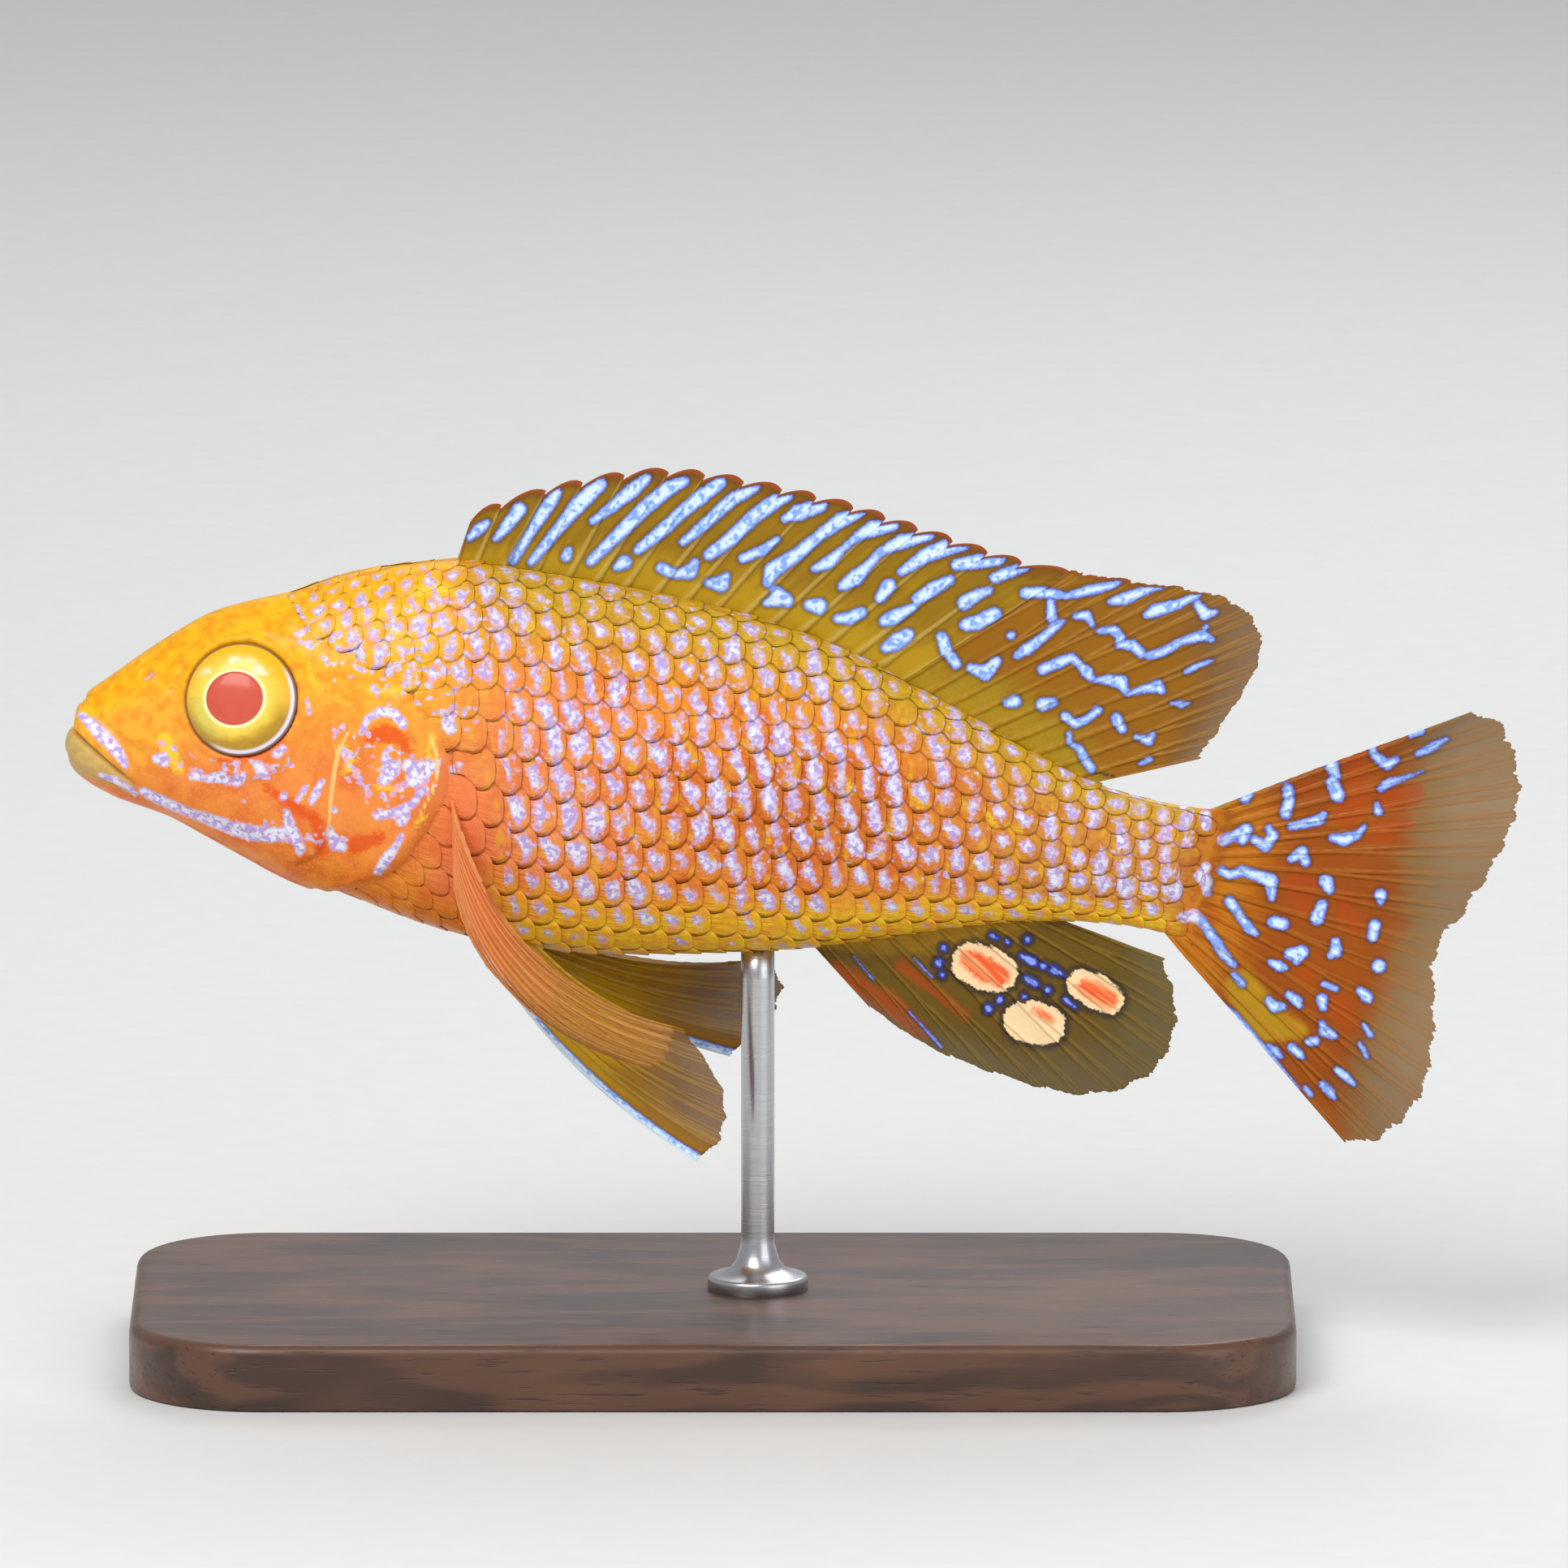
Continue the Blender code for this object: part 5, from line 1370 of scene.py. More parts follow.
def fin_finish(name, root, middle, outer, ray, ray_share, clear):
    """Colours run from root to middle to outer by the value tint, with streaks along the rays, a
    rusty rim, marks with a painted shadow round each, dark strokes, and egg spots with a dark halo."""
    finish = Finish(name, **FILM)
    value, mix, rise, mottle = finish.value, finish.mix, finish.rise, finish.mottle
    cloud, lump, fine = finish.noise(2.6, 3.0), finish.noise(0.8), finish.noise(0.28)
    course = finish.node("ShaderNodeCombineXYZ", {}, {"X": value("run") * 4.5, "Y": value("way") * 2.5})
    streak = finish.node("ShaderNodeTexNoise", {}, {"Vector": course, "Scale": 1.0, "Detail": 3.0})
    tint = value("tint") + (cloud - 0.5) * 0.35 + (streak - 0.5) * 0.6
    fray = (fine - 0.5) * 0.6 + (lump - 0.5) * 0.35
    ruddy = value("ruddy") + fray + (streak - 0.5) * 2.2
    line = rise(value("ray"), 0.15, 0.85) * ray_share
    rim = value("rim") + (lump - 0.5) * 0.3
    navy, egg = value("navy") + fray * 0.6, value("egg") + fray * 0.8 + (streak - 0.5) * 0.9
    halo = finish.larger(rise(navy, -0.5, -0.1), rise(egg, -0.8, -0.15)) * 0.7
    pale = value("pale") + fray * 0.5 + value("broad")
    patchy = finish.larger(rise(finish.noise(0.6, 1.0), 0.36, 0.52), rise(pale, 0.7, 0.95))
    mark = mottle(pale, 0.0, 0.20, (92, 98, 218), (134, 174, 248))
    mark = mix(rise(pale, 0.14, 0.42) * patchy, mark, srgb(216, 238, 255))
    flesh = mottle(streak, 0.42, 0.60, (240, 96, 48), (255, 172, 112))
    yolk = mix(rise(value("yolk") + fray + (streak - 0.5) * 1.6, -0.1, 0.4), srgb(250, 218, 170), flesh)
    colour = finish.layers(mottle(tint, 0.05, 0.5, root, middle), [
        (rise(tint, 0.55, 0.95), srgb(*outer)),
        (rise(ruddy, -0.3, 0.5) * 0.62, srgb(180, 68, 8)),
        (rise(value("golden") + fray, -0.5, 0.5) * 0.8, srgb(190, 150, 20)),
        (line, srgb(*ray)),
        (rise(rim, -0.5, 0.0) * 0.45, srgb(96, 66, 10)),
        (rise(rim, -0.1, 0.2) * 0.9, srgb(160, 74, 20)),
        # Near black: halos of blue and egg marks, and the back fin's dark strokes, one a painted shadow.
        (finish.larger(halo, rise(value("dark") + fray, -0.1, 0.3)), srgb(34, 32, 40)),
        (rise(navy, -0.05, 0.1), mottle(navy, 0.1, 0.34, (48, 54, 160), (140, 168, 246))),
        # A painted shadow: a dark olive ring round each pale mark.
        (rise(pale, -0.38, -0.05) * 0.4, srgb(70, 52, 16)),
        (rise(pale, -0.06, 0.10) * 0.96, mark),
        (rise(egg, -0.05, 0.12), yolk),
    ])
    marked = finish.larger(rise(pale, -0.06, 0.10), rise(egg, -0.1, 0.12))
    see_through = value("clear") * clear * (1 - line * 0.5) * (1 - marked)
    pucker = finish.noise(0.35, 3.0) * 0.5 + streak * 0.5
    finish.shade(Base_Color=colour, Alpha=1 - see_through, Normal=finish.bump(pucker, 0.06))
    return finish


def fin_values(**given):
    """The numbers that a fin finish reads. What is not given lies far from any mark."""
    kinds = ("pale", "golden", "ruddy", "rim", "dark", "navy", "egg", "yolk")
    return {**dict.fromkeys(kinds, FAR), "broad": 0.03, **given}


print("values that lie far off unless given:", len(fin_values()) - 1)

# %% [markdown]
# ## The back fin
# Sixteen spines and ten soft rays stand on the back in one sheet. The solids part it after the last
# spine, and so do the two pieces here, which meet edge to edge. The marks were read from the photo
# like those of the head, fin by fin.

# %% Marks of the back fin
DORSAL_PALE = [
    [(579, 663, 3), (590, 653, 6), (600, 645, 4)],
    [(612, 664, 3), (627, 646, 6.5), (641, 628, 7.5)],
    [(633, 690, 5), (655, 655, 5), (674, 626, 7), (687, 608, 5)],
    [(655, 693, 4), (690, 650, 6), (714, 621, 9), (740, 597, 7)],
    [(730, 643, 3), (757, 623, 6), (779, 605, 8), (797, 590, 5)],
    [(728, 692, 5), (765, 656, 7), (795, 626, 8), (824, 602, 8), (843, 594, 5)],
    [(786, 678, 5), (815, 655, 7), (842, 630, 7), (865, 612, 8), (888, 595, 6)],
    [(842, 668, 4), (870, 645, 6), (900, 618, 7), (930, 600, 6)],
    [(874, 684, 6), (904, 661, 8), (930, 636, 8), (954, 619, 8), (972, 612, 4)],
    [(916, 688, 5), (940, 678, 5), (958, 665, 3)],
    [(968, 639, 4), (984, 632, 9), (1012, 624, 6)],
    [(946, 718, 5), (951, 703, 9), (980, 685, 7), (1010, 660, 6), (1035, 642, 8), (1060, 632, 5)],
    [(1003, 701, 4), (1021, 693, 7), (1040, 675, 3), (1058, 660, 5), (1075, 652, 9), (1101, 648, 5)],
    [(1038, 722, 5), (1054, 712, 9), (1068, 698, 5), (1085, 680, 4), (1110, 668, 8), (1145, 660, 5)],
    [(1085, 736, 6), (1095, 722, 8)],
    [(1110, 705, 4), (1140, 685, 8), (1165, 675, 9), (1187, 672, 6)],
    [(1130, 738, 6), (1149, 726, 8), (1170, 715, 5)],
    [(1178, 696, 6), (1205, 692, 8), (1231, 690, 6)],
    [(1188, 743, 8), (1204, 733, 6), (1218, 728, 4)],
    [(1226, 712, 6), (1245, 705, 6), (1265, 698, 4)],
    [(698, 686, 6), (701, 678, 4)],
    [(760, 699, 4), (770, 693, 8)],
    [(815, 700, 6), (834, 708, 5), (850, 705, 8), (857, 693, 4)],
    [(872, 718, 4), (889, 720, 9), (895, 709, 4)],
    [(944, 743, 4), (958, 738, 9), (955, 727, 5), (970, 740, 7)],
    [(997, 745, 6), (1009, 747, 9)],
    [(1032, 762, 5), (1046, 762, 6), (1061, 755, 6)],
    [(1090, 765, 6), (1102, 760, 8), (1125, 748, 4)],
    [(1092, 798, 6), (1105, 790, 9), (1118, 782, 7)],
    [(1160, 785, 6), (1165, 800, 7), (1178, 818, 7)],
    [(1196, 823, 6), (1214, 829, 10), (1227, 815, 7)],
    [(1190, 770, 7), (1205, 767, 8), (1225, 757, 8)],
    [(1245, 783, 6)],
    [(1263, 731, 6), (1285, 731, 6.5), (1305, 733, 6)],
    [(1294, 742, 5), (1295, 760, 7)],
    [(1312, 735, 4), (1340, 728, 7), (1369, 722, 5), (1379, 718, 3)],
    [(1368, 742, 5), (1385, 738, 8), (1410, 728, 6), (1450, 716, 3)],
    [(1412, 758, 5), (1422, 753, 9), (1450, 745, 6), (1475, 733, 4), (1490, 724, 2)],
    [(1475, 746, 6), (1483, 757, 8), (1495, 755, 4)],
    [(1252, 808, 5), (1265, 800, 8), (1285, 785, 6), (1300, 772, 6), (1310, 765, 3)],
    [(1325, 760, 5), (1338, 758, 6), (1345, 770, 4)],
    [(1353, 778, 4), (1372, 776, 6), (1380, 785, 6), (1378, 795, 5), (1395, 795, 7), (1405, 805, 6)],
    [(1415, 808, 5), (1432, 803, 6), (1455, 790, 5), (1480, 783, 7), (1492, 788, 4)],
    [(1485, 773, 4)],
    [(1284, 825, 7), (1300, 818, 7), (1320, 810, 6), (1330, 818, 5), (1338, 828, 8), (1343, 835, 5)],
    [(1352, 838, 4), (1368, 838, 8), (1380, 840, 9), (1385, 850, 5)],
    [(1388, 856, 3), (1405, 850, 5), (1425, 845, 8), (1430, 850, 6)],
    [(1460, 828, 3), (1475, 820, 4), (1492, 814, 2)],
    [(1241, 866, 6), (1250, 864, 9)],
    [(1285, 868, 9), (1298, 865, 6)],
    [(1312, 882, 6), (1325, 892, 6), (1340, 885, 5), (1352, 875, 6)],
    [(1375, 885, 7), (1382, 898, 6)],
    [(1400, 908, 4), (1414, 912, 7), (1420, 905, 4)],
    [(1317, 905, 4), (1318, 915, 4), (1330, 922, 5), (1338, 938, 6), (1345, 947, 5)],
    [(1405, 941, 3), (1416, 935, 4)],
    [(1442, 866, 2), (1454, 868, 5), (1464, 866, 2)],
]
# Dark strokes of the back fin. The first is a painted shadow, in the gap between the fin's rear root
# and the body. The second is a dark line higher on the fin.
DORSAL_DARK_AND_SHADOW = [[(1350, 951, 3), (1371, 956, 2)], [(1254, 706, 2), (1266, 699, 2)]]

# %% Back fin
FIN_SINK = 1.2
SPINE_COUNT = 16
PARTING = SPINE_COUNT - 0.07
DORSAL_ROOTS = [(0, -30.2), (4, -20.4), (9, -7.4), (15, 7.0), (20, 16.7), (25, 25.4)]
DORSAL_TIPS = [
    (0, -28.3, 34.6),
    (2, -21.6, 36.9),
    (5, -10.6, 38.5),
    (9, 2.6, 36.2),
    (12, 11.7, 33.4),
    (15, 21.0, 30.5),
    (17, 29.7, 29.1),
    (19, 38.3, 27.8),
    (20.5, 41.7, 25.2),
    (22, 41.5, 21.0),
    (25, 36.5, 12.9),
]


def middle_line(x, z):
    """Points on the swung middle plane."""
    return np.stack([x, swing(x), z], axis=1)


def dorsal_sheet(rays, way, shorter):
    """The back fin between any two rays, rooted a little under the line of the back."""
    root_x = along(DORSAL_ROOTS, rays)[:, 0]
    roots = middle_line(root_x, outline_height(root_x, 0) - FIN_SINK)
    return fin_sheet(rays, way, roots, middle_line(*along(DORSAL_TIPS, rays).T), shorter=shorter)


def from_edge(points):
    """How far each point of a fin lies from the tip of its ray, in mm."""
    return np.linalg.norm(points - points[-1], axis=2)


SPINY_FILM = (180, 142, 18), (148, 110, 12), (132, 86, 10), (200, 174, 92), 0.45, 0.08
spiny = fin_finish("spiny fin film", *SPINY_FILM)
rays, way = ray_columns(0, PARTING, 18, 0.55), np.linspace(0, 1, 62)
behind = rays % 1.0
lappet = np.where(behind < 0.6, 1.1 * (1 - behind / 0.6) ** 2, 0.55 * (behind / 0.4 - 1.5) ** 2)
points = dorsal_sheet(rays, way, lappet)
edge = from_edge(points)
px, py = photo_place(points, mirrored=False)
values = fin_values(
    pale=np.minimum(stroke_depth(px, py, DORSAL_PALE), edge - 0.5),
    tint=step(way, 0.80, 0.97)[:, None] * 0.5 + 0.45 * step(way, 0.1, 0.5)[:, None],
    golden=np.where(way < 0.3, 0.3 - 2.5 * way, FAR)[:, None],
    rim=0.46 - edge,
    broad=0.14,
    dark=stroke_depth(px, py, DORSAL_DARK_AND_SHADOW),
    clear=step(way, 0.6, 1.0)[:, None],
)
add_fin("spiny_fin", ("dorsal_fin_spiny",), points, rays, way, spiny, values, True, (0.42, 0.13), 0.16)

SOFT_FILM = (158, 130, 18), (152, 98, 10), (130, 88, 30), (180, 126, 34), 0.4, 0.25
soft = fin_finish("soft fin film", *SOFT_FILM)
rays, way = ray_columns(PARTING, DORSAL_TIPS[-1][0], 28), np.linspace(0, 1, 84)
notch = soft_edge(rays, 2, 0.22)
points = dorsal_sheet(rays, way, notch)
px, py = photo_place(points, mirrored=False)
margin = step(way, 0.62, 1.0)[:, None] * step(rays, 17.5, 21.0)[None, :]
values = fin_values(
    pale=np.minimum(stroke_depth(px, py, DORSAL_PALE), from_edge(points) - 0.4),
    tint=0.1 + 0.5 * step(way, 0.1, 0.45)[:, None] + 0.5 * margin,
    golden=np.where(way < 0.3, 0.2 - 2.5 * way, FAR)[:, None],
    ruddy=np.where(way < 0.8, 0.2 * np.sin(math.pi * way) - 0.8, FAR)[:, None],
    rim=0.3 - from_edge(points) - step(rays, 17.0, 19.0),
    dark=stroke_depth(px, py, DORSAL_DARK_AND_SHADOW),
    clear=0.2 * step(way, 0.5, 1.0)[:, None] + margin,
)
add_fin("soft_back_fin", ("dorsal_fin_soft",), points, rays, way, soft, values)

# %% [markdown]
# ## The anal fin
# Three short spines and nine soft rays hang below. The round orange marks, each in a pale ring,
# imitate eggs.

# %% Marks of the anal fin
ANAL_EGGS = [
    [(1198, 1186, 25), (1214, 1193, 28), (1230, 1199, 24)],
    [(1333, 1213, 19), (1350, 1222, 22), (1367, 1231, 18)],
    [(1262, 1258, 25), (1276, 1260, 26), (1290, 1264, 23)],
]
ANAL_YOLKS = [
    [(1196, 1182, 15), (1214, 1193, 19), (1232, 1202, 16)],
    [(1336, 1216, 12), (1352, 1223, 15), (1368, 1231, 12)],
    [(1270, 1243, 5), (1284, 1250, 8), (1296, 1257, 6)],
]
ANAL_NAVY = [
    [(1163, 1168, 6)], [(1157, 1186, 7)], [(1161, 1201, 5)], [(1222, 1153, 5), (1229, 1156, 4)],
    [(1241, 1160, 5)], [(1266, 1158, 6)], [(1260, 1178, 5), (1273, 1185, 7)], [(1286, 1190, 6)],
    [(1299, 1195, 7), (1309, 1200, 4)], [(1265, 1205, 6), (1276, 1212, 6)], [(1291, 1220, 6)],
    [(1262, 1228, 5)], [(1232, 1232, 6)], [(1218, 1243, 7)], [(1313, 1231, 5), (1326, 1241, 3)],
]
ANAL_PALE = [
    [(1052, 1178, 1.2), (1076, 1206, 1.8)],
    [(1040, 1222, 1.2), (1075, 1251, 2.4), (1110, 1281, 1.4)],
    [(1120, 1246, 1.2), (1160, 1290, 2)],
    [(1126, 1180, 1), (1148, 1203, 1.6)],
]
ANAL_RUDDY = [[(1030, 1195, 14), (1090, 1235, 18), (1140, 1275, 10)], [(1110, 1190, 12), (1190, 1250, 10)]]

# %% Anal fin
ANAL_ROOTS = [(0, 1.1), (11, 21.0)]
ANAL_TIPS = [
    (0, 7.0, -10.3),
    (2, 13.8, -14.6),
    (5, 25.4, -18.0),
    (7, 32.2, -16.0),
    (9, 34.6, -10.9),
    (11, 33.4, -5.3),
]
ANAL_FILM = (154, 112, 16), (106, 80, 16), (104, 84, 28), (146, 114, 40), 0.35, 0.2
anal = fin_finish("anal fin film", *ANAL_FILM)
rays, way = ray_columns(0, ANAL_TIPS[-1][0], 28), np.linspace(0, 1, 84)
root_x = along(ANAL_ROOTS, rays)[:, 0]
roots = middle_line(root_x, outline_height(root_x, math.pi) + FIN_SINK)
notch = soft_edge(rays, 3, 0.2)
points = fin_sheet(rays, way, roots, middle_line(*along(ANAL_TIPS, rays).T), shorter=notch)
px, py = photo_place(points, mirrored=False)
values = fin_values(
    pale=stroke_depth(px, py, ANAL_PALE),
    tint=0.05 + 0.5 * step(way, 0.05, 0.3)[:, None] + 0.5 * step(way, 0.55, 1.0)[:, None],
    golden=np.where(way < 0.2, 0.2 - 3 * way, FAR)[:, None],
    ruddy=stroke_depth(px, py, ANAL_RUDDY) - 0.2,
    clear=step(way, 0.5, 0.95)[:, None],
    navy=stroke_depth(px, py, ANAL_NAVY),
    egg=stroke_depth(px, py, ANAL_EGGS),
    yolk=stroke_depth(px, py, ANAL_YOLKS),
)
add_fin("egg_spot_fin", ("anal_fin",), points, rays, way, anal, values)

# %% [markdown]
# ## The tail fin
# Its rays fan out from the end of the tail stem and ripple from side to side, which gives the
# uneven rear edge. Its pale marks run on over the tail stem, so they stand with the body's.

# %% Areas of the tail fin
CAUDAL_RUDDY = [
    [(1625, 930, 14), (1668, 935, 20), (1672, 975, 18), (1660, 1000, 22)],
    [(1608, 970, 14)],
    [(1712, 985, 16), (1738, 978, 18)],
    [(1700, 1025, 18), (1730, 1015, 12)],
    [(1600, 1090, 24), (1610, 1120, 14)],
    [(1655, 1110, 16), (1665, 1140, 14)],
    [(1650, 1240, 20), (1662, 1260, 14)],
    [(1610, 1200, 12)],
    [(1490, 1118, 12), (1500, 1130, 10)],
]
CAUDAL_GOLDEN = [[(1500, 1000, 16), (1478, 1040, 10)], [(1530, 1215, 20), (1560, 1260, 24), (1600, 1270, 10)]]

# %% Tail fin
CAUDAL_ROOT_SPAN = (0.14, 0.86)
CAUDAL_RIPPLE, CAUDAL_WAVES = 1.3, 2.3
CAUDAL_ROOT_SINK = 2.6
CAUDAL_TIPS = [
    (0, 60.6, 17.4),
    (1, 63.6, 16.0),
    (3, 65.2, 10.5),
    (5, 63.6, 5.2),
    (7, 60.2, -0.9),
    (8, 57.8, -4.7),
    (10, 57.6, -11.5),
    (12, 56.3, -17.4),
    (14, 52.6, -21.6),
    (15, 49.5, -21.9),
]
TAN_FROM = [(900, 1752), (1060, 1742), (1160, 1730), (1340, 1668)]
TAIL_FILM = (196, 118, 16), (156, 76, 6), (144, 108, 54), (176, 106, 28), 0.35, 0.3
tail = fin_finish("tail fin film", *TAIL_FILM)
rays, way = ray_columns(0, CAUDAL_TIPS[-1][0], 28), np.linspace(0, 1, 112)
share = rays / rays[-1]
down = CAUDAL_ROOT_SPAN[0] + share * (CAUDAL_ROOT_SPAN[1] - CAUDAL_ROOT_SPAN[0])
root_x, root_z = (top + (bottom - top) * down for top, bottom in zip(CAUDAL_TOP, CAUDAL_BOTTOM))
roots = middle_line(root_x - CAUDAL_ROOT_SINK, root_z)
notch = soft_edge(rays, 4, 0.25)
ripple = CAUDAL_RIPPLE * np.sin(2 * math.pi * CAUDAL_WAVES * share)
points = fin_sheet(rays, way, roots, middle_line(*along(CAUDAL_TIPS, rays).T), shorter=notch, ripple=ripple)
px, py = photo_place(points, mirrored=False)
past = px - np.interp(py, *np.array(TAN_FROM).T)
values = fin_values(
    pale=stroke_depth(px, py, CAUDAL_PALE),
    tint=0.5 * step(way, 0.12, 0.42)[:, None] + 0.5 * step(past, -60, 40),
    golden=stroke_depth(px, py, CAUDAL_GOLDEN),
    ruddy=stroke_depth(px, py, CAUDAL_RUDDY) - 0.2,
    clear=step(past, -60, 60),
)
add_fin("fan_tail_fin", ("caudal_fin",), points, rays, way, tail, values, radius=(0.42, 0.12))

# %% [markdown]
# ## The paired fins
# The breast fins are thin salmon fans that grow behind the gill cover. The belly fins are longer
# and ochre, with a blue-white front edge. Each pair has the same rays but its own pose.

# %% Paired fins
PAIRED_FIN_SINK = 0.5
PAIRED_WAY = np.linspace(0, 1, 96)
PAIRED_FINS = {
    "belly_fin": {
        "node": "pelvic_fin",
        "root": ((-29.0, -3.2), (-23.4, -4.1)),
        "left": [(0, -8.3, 9.5, -22.7), (1, -6.2, 9.0, -20.8), (3, -6.0, 7.6, -16.6), (5, -9.5, 6.0, -11.3)],
        "right": [(0, -5.4, 9.0, -16.6), (1, -2.6, 9.0, -14.2), (3, -0.6, 8.6, -10.2), (5, -2.4, 7.6, -7.4)],
        "bow": (-0.065, -0.08),
        "lift": 0.6,
        "columns": 40,
        "radius": (0.38, 0.12),
        "film": ((194, 148, 20), (160, 112, 18), (126, 84, 28), (196, 156, 52), 0.35, 0.3),
    },
    "breast_fin": {
        "node": "pectoral_fin",
        "root": ((-30.6, 11.0), (-30.0, 4.6)),
        "left": [
            (0, -10.2, 12.6, -10.0), (5, -11.6, 12.8, -13.3),
            (8, -14.9, 12.2, -13.0), (11, -19.9, 11.2, -9.5),
        ],
        "right": [
            (0, -4.4, 13.6, 4.0), (5, -3.0, 13.8, -1.8),
            (8, -7.2, 13.0, -4.6), (11, -14.8, 11.8, -4.8),
        ],
        "bow": (-0.155, -0.17),
        "lift": 1.9,
        "columns": 20,
        "radius": (0.24, 0.09),
        "film": ((240, 124, 66), (224, 134, 60), (206, 142, 58), (242, 176, 114), 0.45, 0.8),
    },
}


def belly_values(rays, way):
    """A blue-white front edge, gold by the root, and a clear tawny end."""
    return fin_values(
        pale=1.5 - 3.4 * rays - 0.9 * np.abs(way - 0.5),
        tint=0.35 * step(rays, 0.2, 2.5) + 0.75 * step(way, 0.45, 1.0),
        golden=0.6 - 1.2 * rays - 0.8 * way,
        clear=step(way, 0.45, 1.0) * step(rays, 0.3, 1.0),
    )


def breast_values(rays, way):
    """Salmon by the root, and clearer and clearer to the tip, the same for all rays."""
    return fin_values(tint=step(way, 0.1, 1.0) + 0 * rays, clear=0.2 + 0.8 * step(way, 0.1, 0.8))


def paired_fin(name, fin, word, side, finish, values_at):
    """The root line runs between two points of the flank, sunk a little, and each tip is mirrored
    to its side."""
    rays, way = ray_columns(0, fin[word][-1][0], fin["columns"]), PAIRED_WAY
    ends = [flank_point(*end, side) for end in fin["root"]]
    first, last = np.array([point - normal * PAIRED_FIN_SINK for point, normal in ends])
    share = (rays / rays[-1])[:, None]
    tips = along(fin[word], rays) * np.array([1, side, 1])
    bow = fin["bow"][0] + (fin["bow"][1] - fin["bow"][0]) * share
    roots = first + (last - first) * share
    sheet = fin_sheet(rays, way, roots, tips, bow, fin["lift"] * side, soft_edge(rays, 5, 0.15))
    values = values_at(rays[None, :], way[:, None])
    nodes = (f"{fin['node']}_{word}",)
    add_fin(f"{name}_{word}", nodes, sheet, rays, way, finish, values, radius=fin["radius"])


belly, breast = PAIRED_FINS["belly_fin"], PAIRED_FINS["breast_fin"]
belly_film = fin_finish("belly fin film", *belly["film"])
breast_film = fin_finish("breast fin film", *breast["film"])
for side, word in SIDES:
    paired_fin("belly_fin", belly, word, side, belly_film, belly_values)
    paired_fin("breast_fin", breast, word, side, breast_film, breast_values)

# %% [markdown]
# ## The stand
# The base is a slab of walnut with round corners and a softened edge, rubbed with satin varnish. Its
# outline is a rounded rectangle, carried down a profile that rounds over at the top. The grain is
# noise drawn out along the slab, with finer pores.

# %% Base
BASE_SIZE = (104.0, 54.0, 6.0)
BASE_CENTRE_X = -7.0
BASE_CORNER, BASE_EDGE = 12.0, 1.0
BASE_MIDDLE = BASE_CORNER - 0.5
BASE_COLUMNS = 240


def rounded_rectangle(inset):
    """Points spread evenly round a rectangle with quarter circles for corners. Along a straight side
    the corner's centre moves and the direction stays, and round a corner the direction turns."""
    half_x, half_y = BASE_SIZE[0] / 2 - BASE_CORNER, BASE_SIZE[1] / 2 - BASE_CORNER
    centres = np.array([(1, -1), (1, 1), (1, 1), (-1, 1), (-1, 1), (-1, -1), (-1, -1), (1, -1), (1, -1)])
    turns = np.array([0, 0, 1, 1, 2, 2, 3, 3, 4]) * math.pi / 2
    bend = BASE_CORNER * math.pi / 2
    run = np.cumsum([0, 2 * half_y, bend, 2 * half_x, bend, 2 * half_y, bend, 2 * half_x, bend])
    at = np.arange(BASE_COLUMNS) / BASE_COLUMNS * run[-1]
    turn = np.interp(at, run, turns)
    x = np.interp(at, run, centres[:, 0] * half_x) + (BASE_CORNER - inset) * np.cos(turn)
    y = np.interp(at, run, centres[:, 1] * half_y) + (BASE_CORNER - inset) * np.sin(turn)
    return BASE_CENTRE_X + x, y


def slab():
    """Rings from the middle of the underside out, up the side, over the rounded edge and in again."""
    height = BASE_SIZE[2]
    bend = np.linspace(0, math.pi / 2, 7)
    rings = [(BASE_MIDDLE, 0.0), (6.0, 0.0), (0.45, 0.0), (0.1, 0.12), (0.0, 0.5), (0.0, height - BASE_EDGE)]
    rings += [(BASE_EDGE * (1 - math.cos(b)), height - BASE_EDGE * (1 - math.sin(b))) for b in bend[1:]]
    rings += [(2.0, height), (6.0, height), (BASE_MIDDLE, height)]
    outline = []
    for inset, z in rings:
        x, y = rounded_rectangle(inset)
        outline.append(np.stack([x, y, np.full(len(x), z)], axis=1))
    centre = [[BASE_CENTRE_X, 0, 0], [BASE_CENTRE_X, 0, height]]
    return np.concatenate([*outline, centre]), tube_faces(len(rings), BASE_COLUMNS)


walnut = Finish("satin walnut", Coat_Weight=0.25, Coat_Roughness=0.25)
figure = walnut.math("SINE", walnut.noise(9.0, 3.0, (6.0, 1.0, 1.0)) * 34) * 0.5 + 0.5
pores = walnut.noise(0.35, 3.0, (14.0, 1.0, 1.0))
wood = walnut.layers(walnut.mottle(figure, 0.1, 0.9, (92, 58, 38), (62, 38, 26)), [
    (walnut.rise(pores, 0.56, 0.72) * 0.7, srgb(34, 20, 14)),
    (walnut.rise(walnut.noise(16.0), 0.4, 0.75) * 0.4, srgb(120, 80, 52)),
])
grain = walnut.bump(1 - walnut.rise(pores, 0.56, 0.74), 0.05)
walnut.shade(Base_Color=wood, Roughness=0.34 + pores * 0.2, Normal=grain)
slab_points, slab_faces = slab()
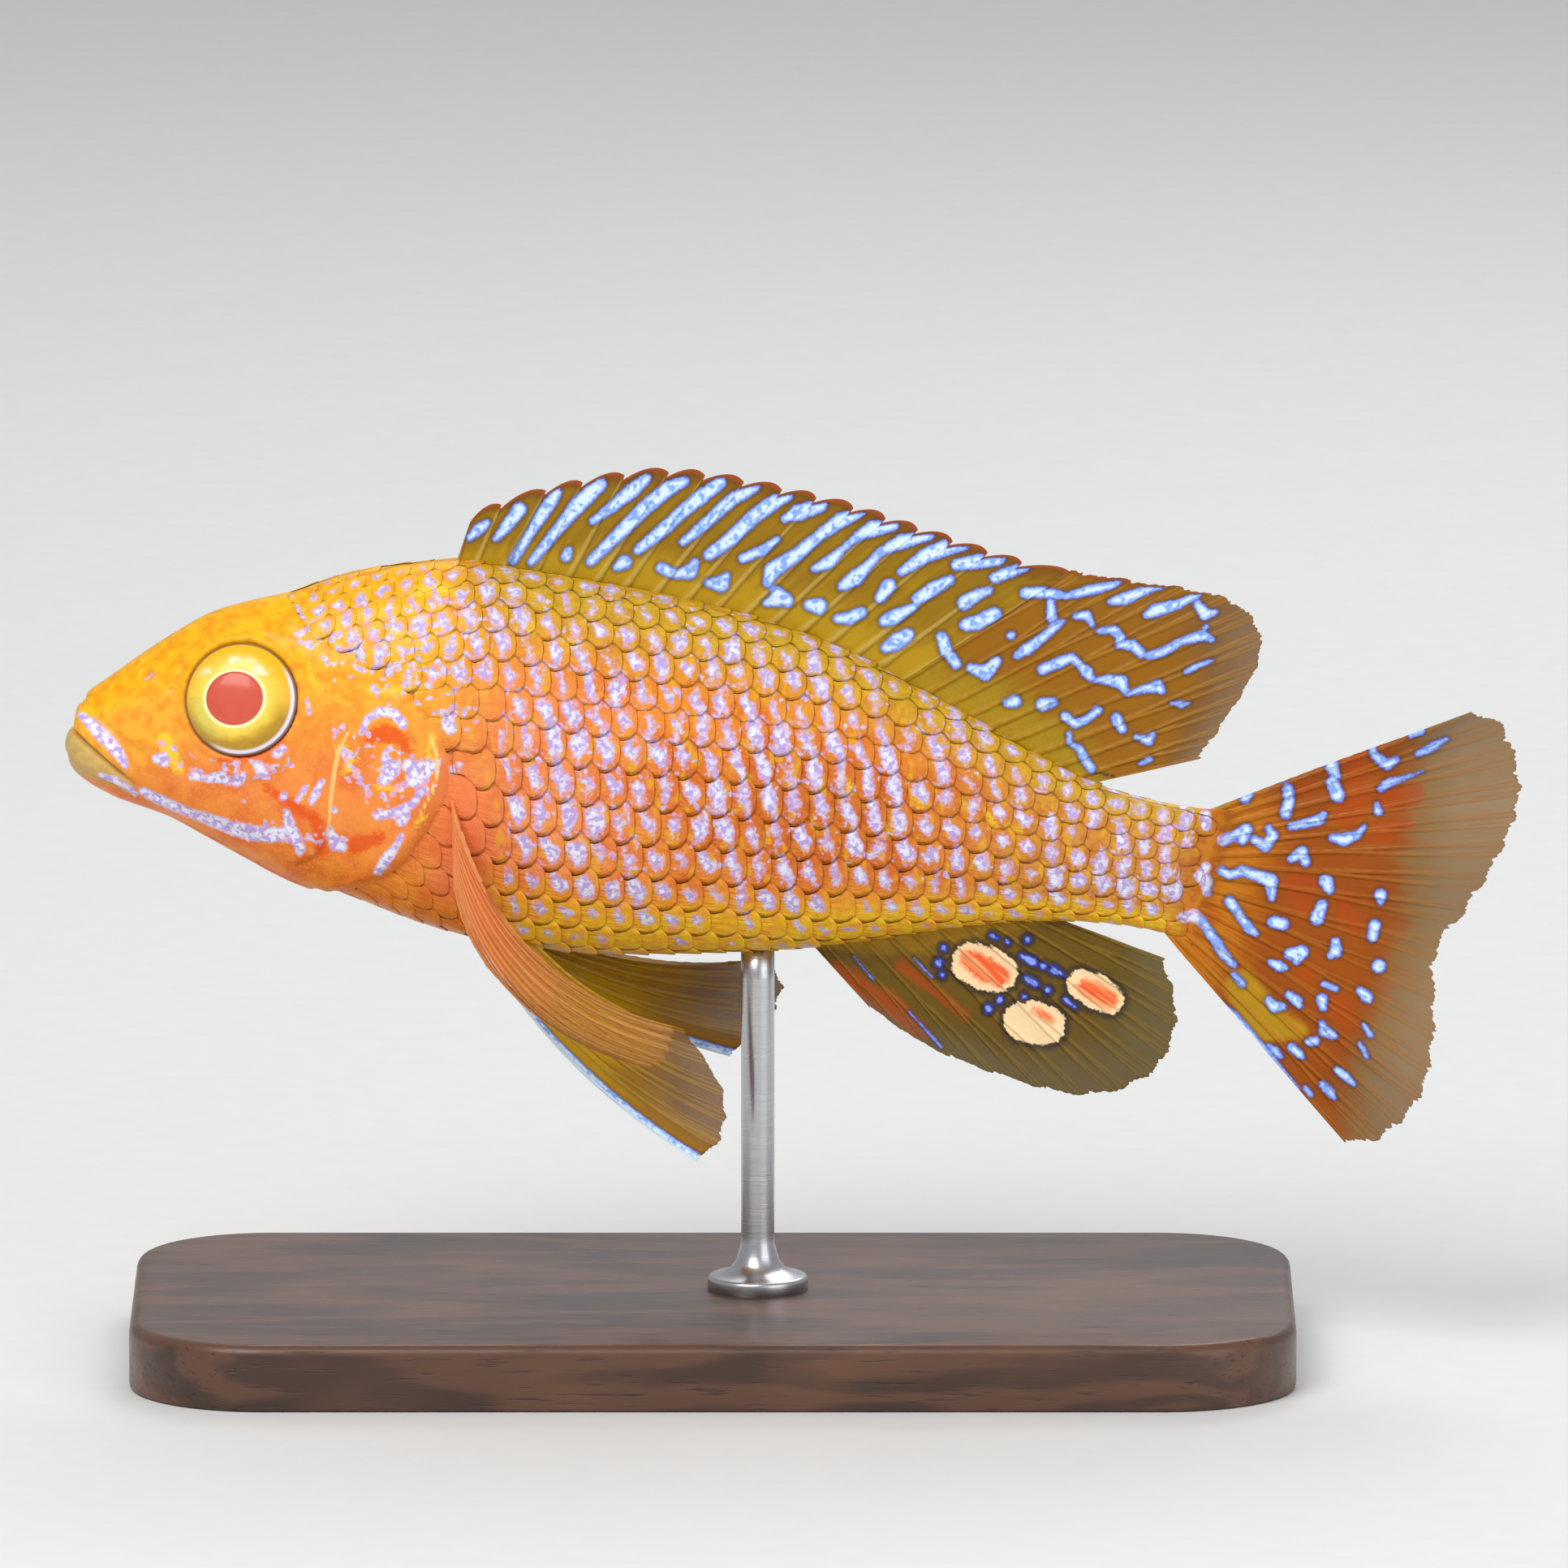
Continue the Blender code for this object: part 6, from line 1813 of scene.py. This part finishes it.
new_piece("walnut_base", slab_points, slab_faces, walnut, "base_wood", ("stand_base",), lift=0.0)

# %% [markdown]
# ## The rod
# A turned steel rod with a spread foot. Its profile is spun round, and it runs into the base and into
# the belly, so that no gap shows. Turning leaves fine rings, which only the relief carries.

# %% Rod
ROD_X, ROD_RADIUS, ROD_COLUMNS = -3.0, 1.5, 64
FOOT_RADIUS, FOOT_TOP, FOOT_EDGE = 4.5, 6.9, 0.4
ROD_FROM, ROD_STEPS, ROD_SINK = 11.0, 12, 0.5
bend = np.linspace(0, math.pi / 2, 6)
rod_top = AXIS_HEIGHT + float(outline_height(ROD_X, math.pi)) + ROD_SINK
profile = [(4.3, 5.8), (FOOT_RADIUS, 6.0), (FOOT_RADIUS, FOOT_TOP)]
for b in bend[1:]:
    profile += [(FOOT_RADIUS - FOOT_EDGE * (1 - math.cos(b)), FOOT_TOP + FOOT_EDGE * math.sin(b))]
profile += [(3.4, 7.45), (2.5, 7.9), (2.0, 8.5), (1.7, 9.4), (ROD_RADIUS, 10.3)]
profile += [(ROD_RADIUS, ROD_FROM + k * (rod_top - ROD_FROM - 1) / ROD_STEPS) for k in range(ROD_STEPS)]
profile += [(ROD_RADIUS, rod_top)]
radius, height = np.array(profile).T
turn = np.linspace(0, 2 * math.pi, ROD_COLUMNS, endpoint=False)
x = ROD_X + radius[:, None] * np.cos(turn)
y = swing(ROD_X) + radius[:, None] * np.sin(turn)
rod = np.stack([x, y, np.broadcast_to(height[:, None], x.shape)], axis=-1).reshape(-1, 3)
rod = np.concatenate([rod, [(ROD_X, 0, height[0]), (ROD_X, 0, height[-1])]])
steel = Finish("turned steel", Metallic=1.0)
lines = steel.noise(0.12, 2.0, (40.0, 40.0, 1.0))
silver = steel.mix(lines, srgb(206, 206, 208), srgb(186, 186, 190))
steel.shade(Base_Color=silver, Roughness=0.22 + lines * 0.16, Normal=steel.bump(lines, 0.01))
rod_faces = tube_faces(len(profile), ROD_COLUMNS)
new_piece("steel_rod", rod, rod_faces, steel, "rod_steel", ("stand_rod",), lift=0.0)
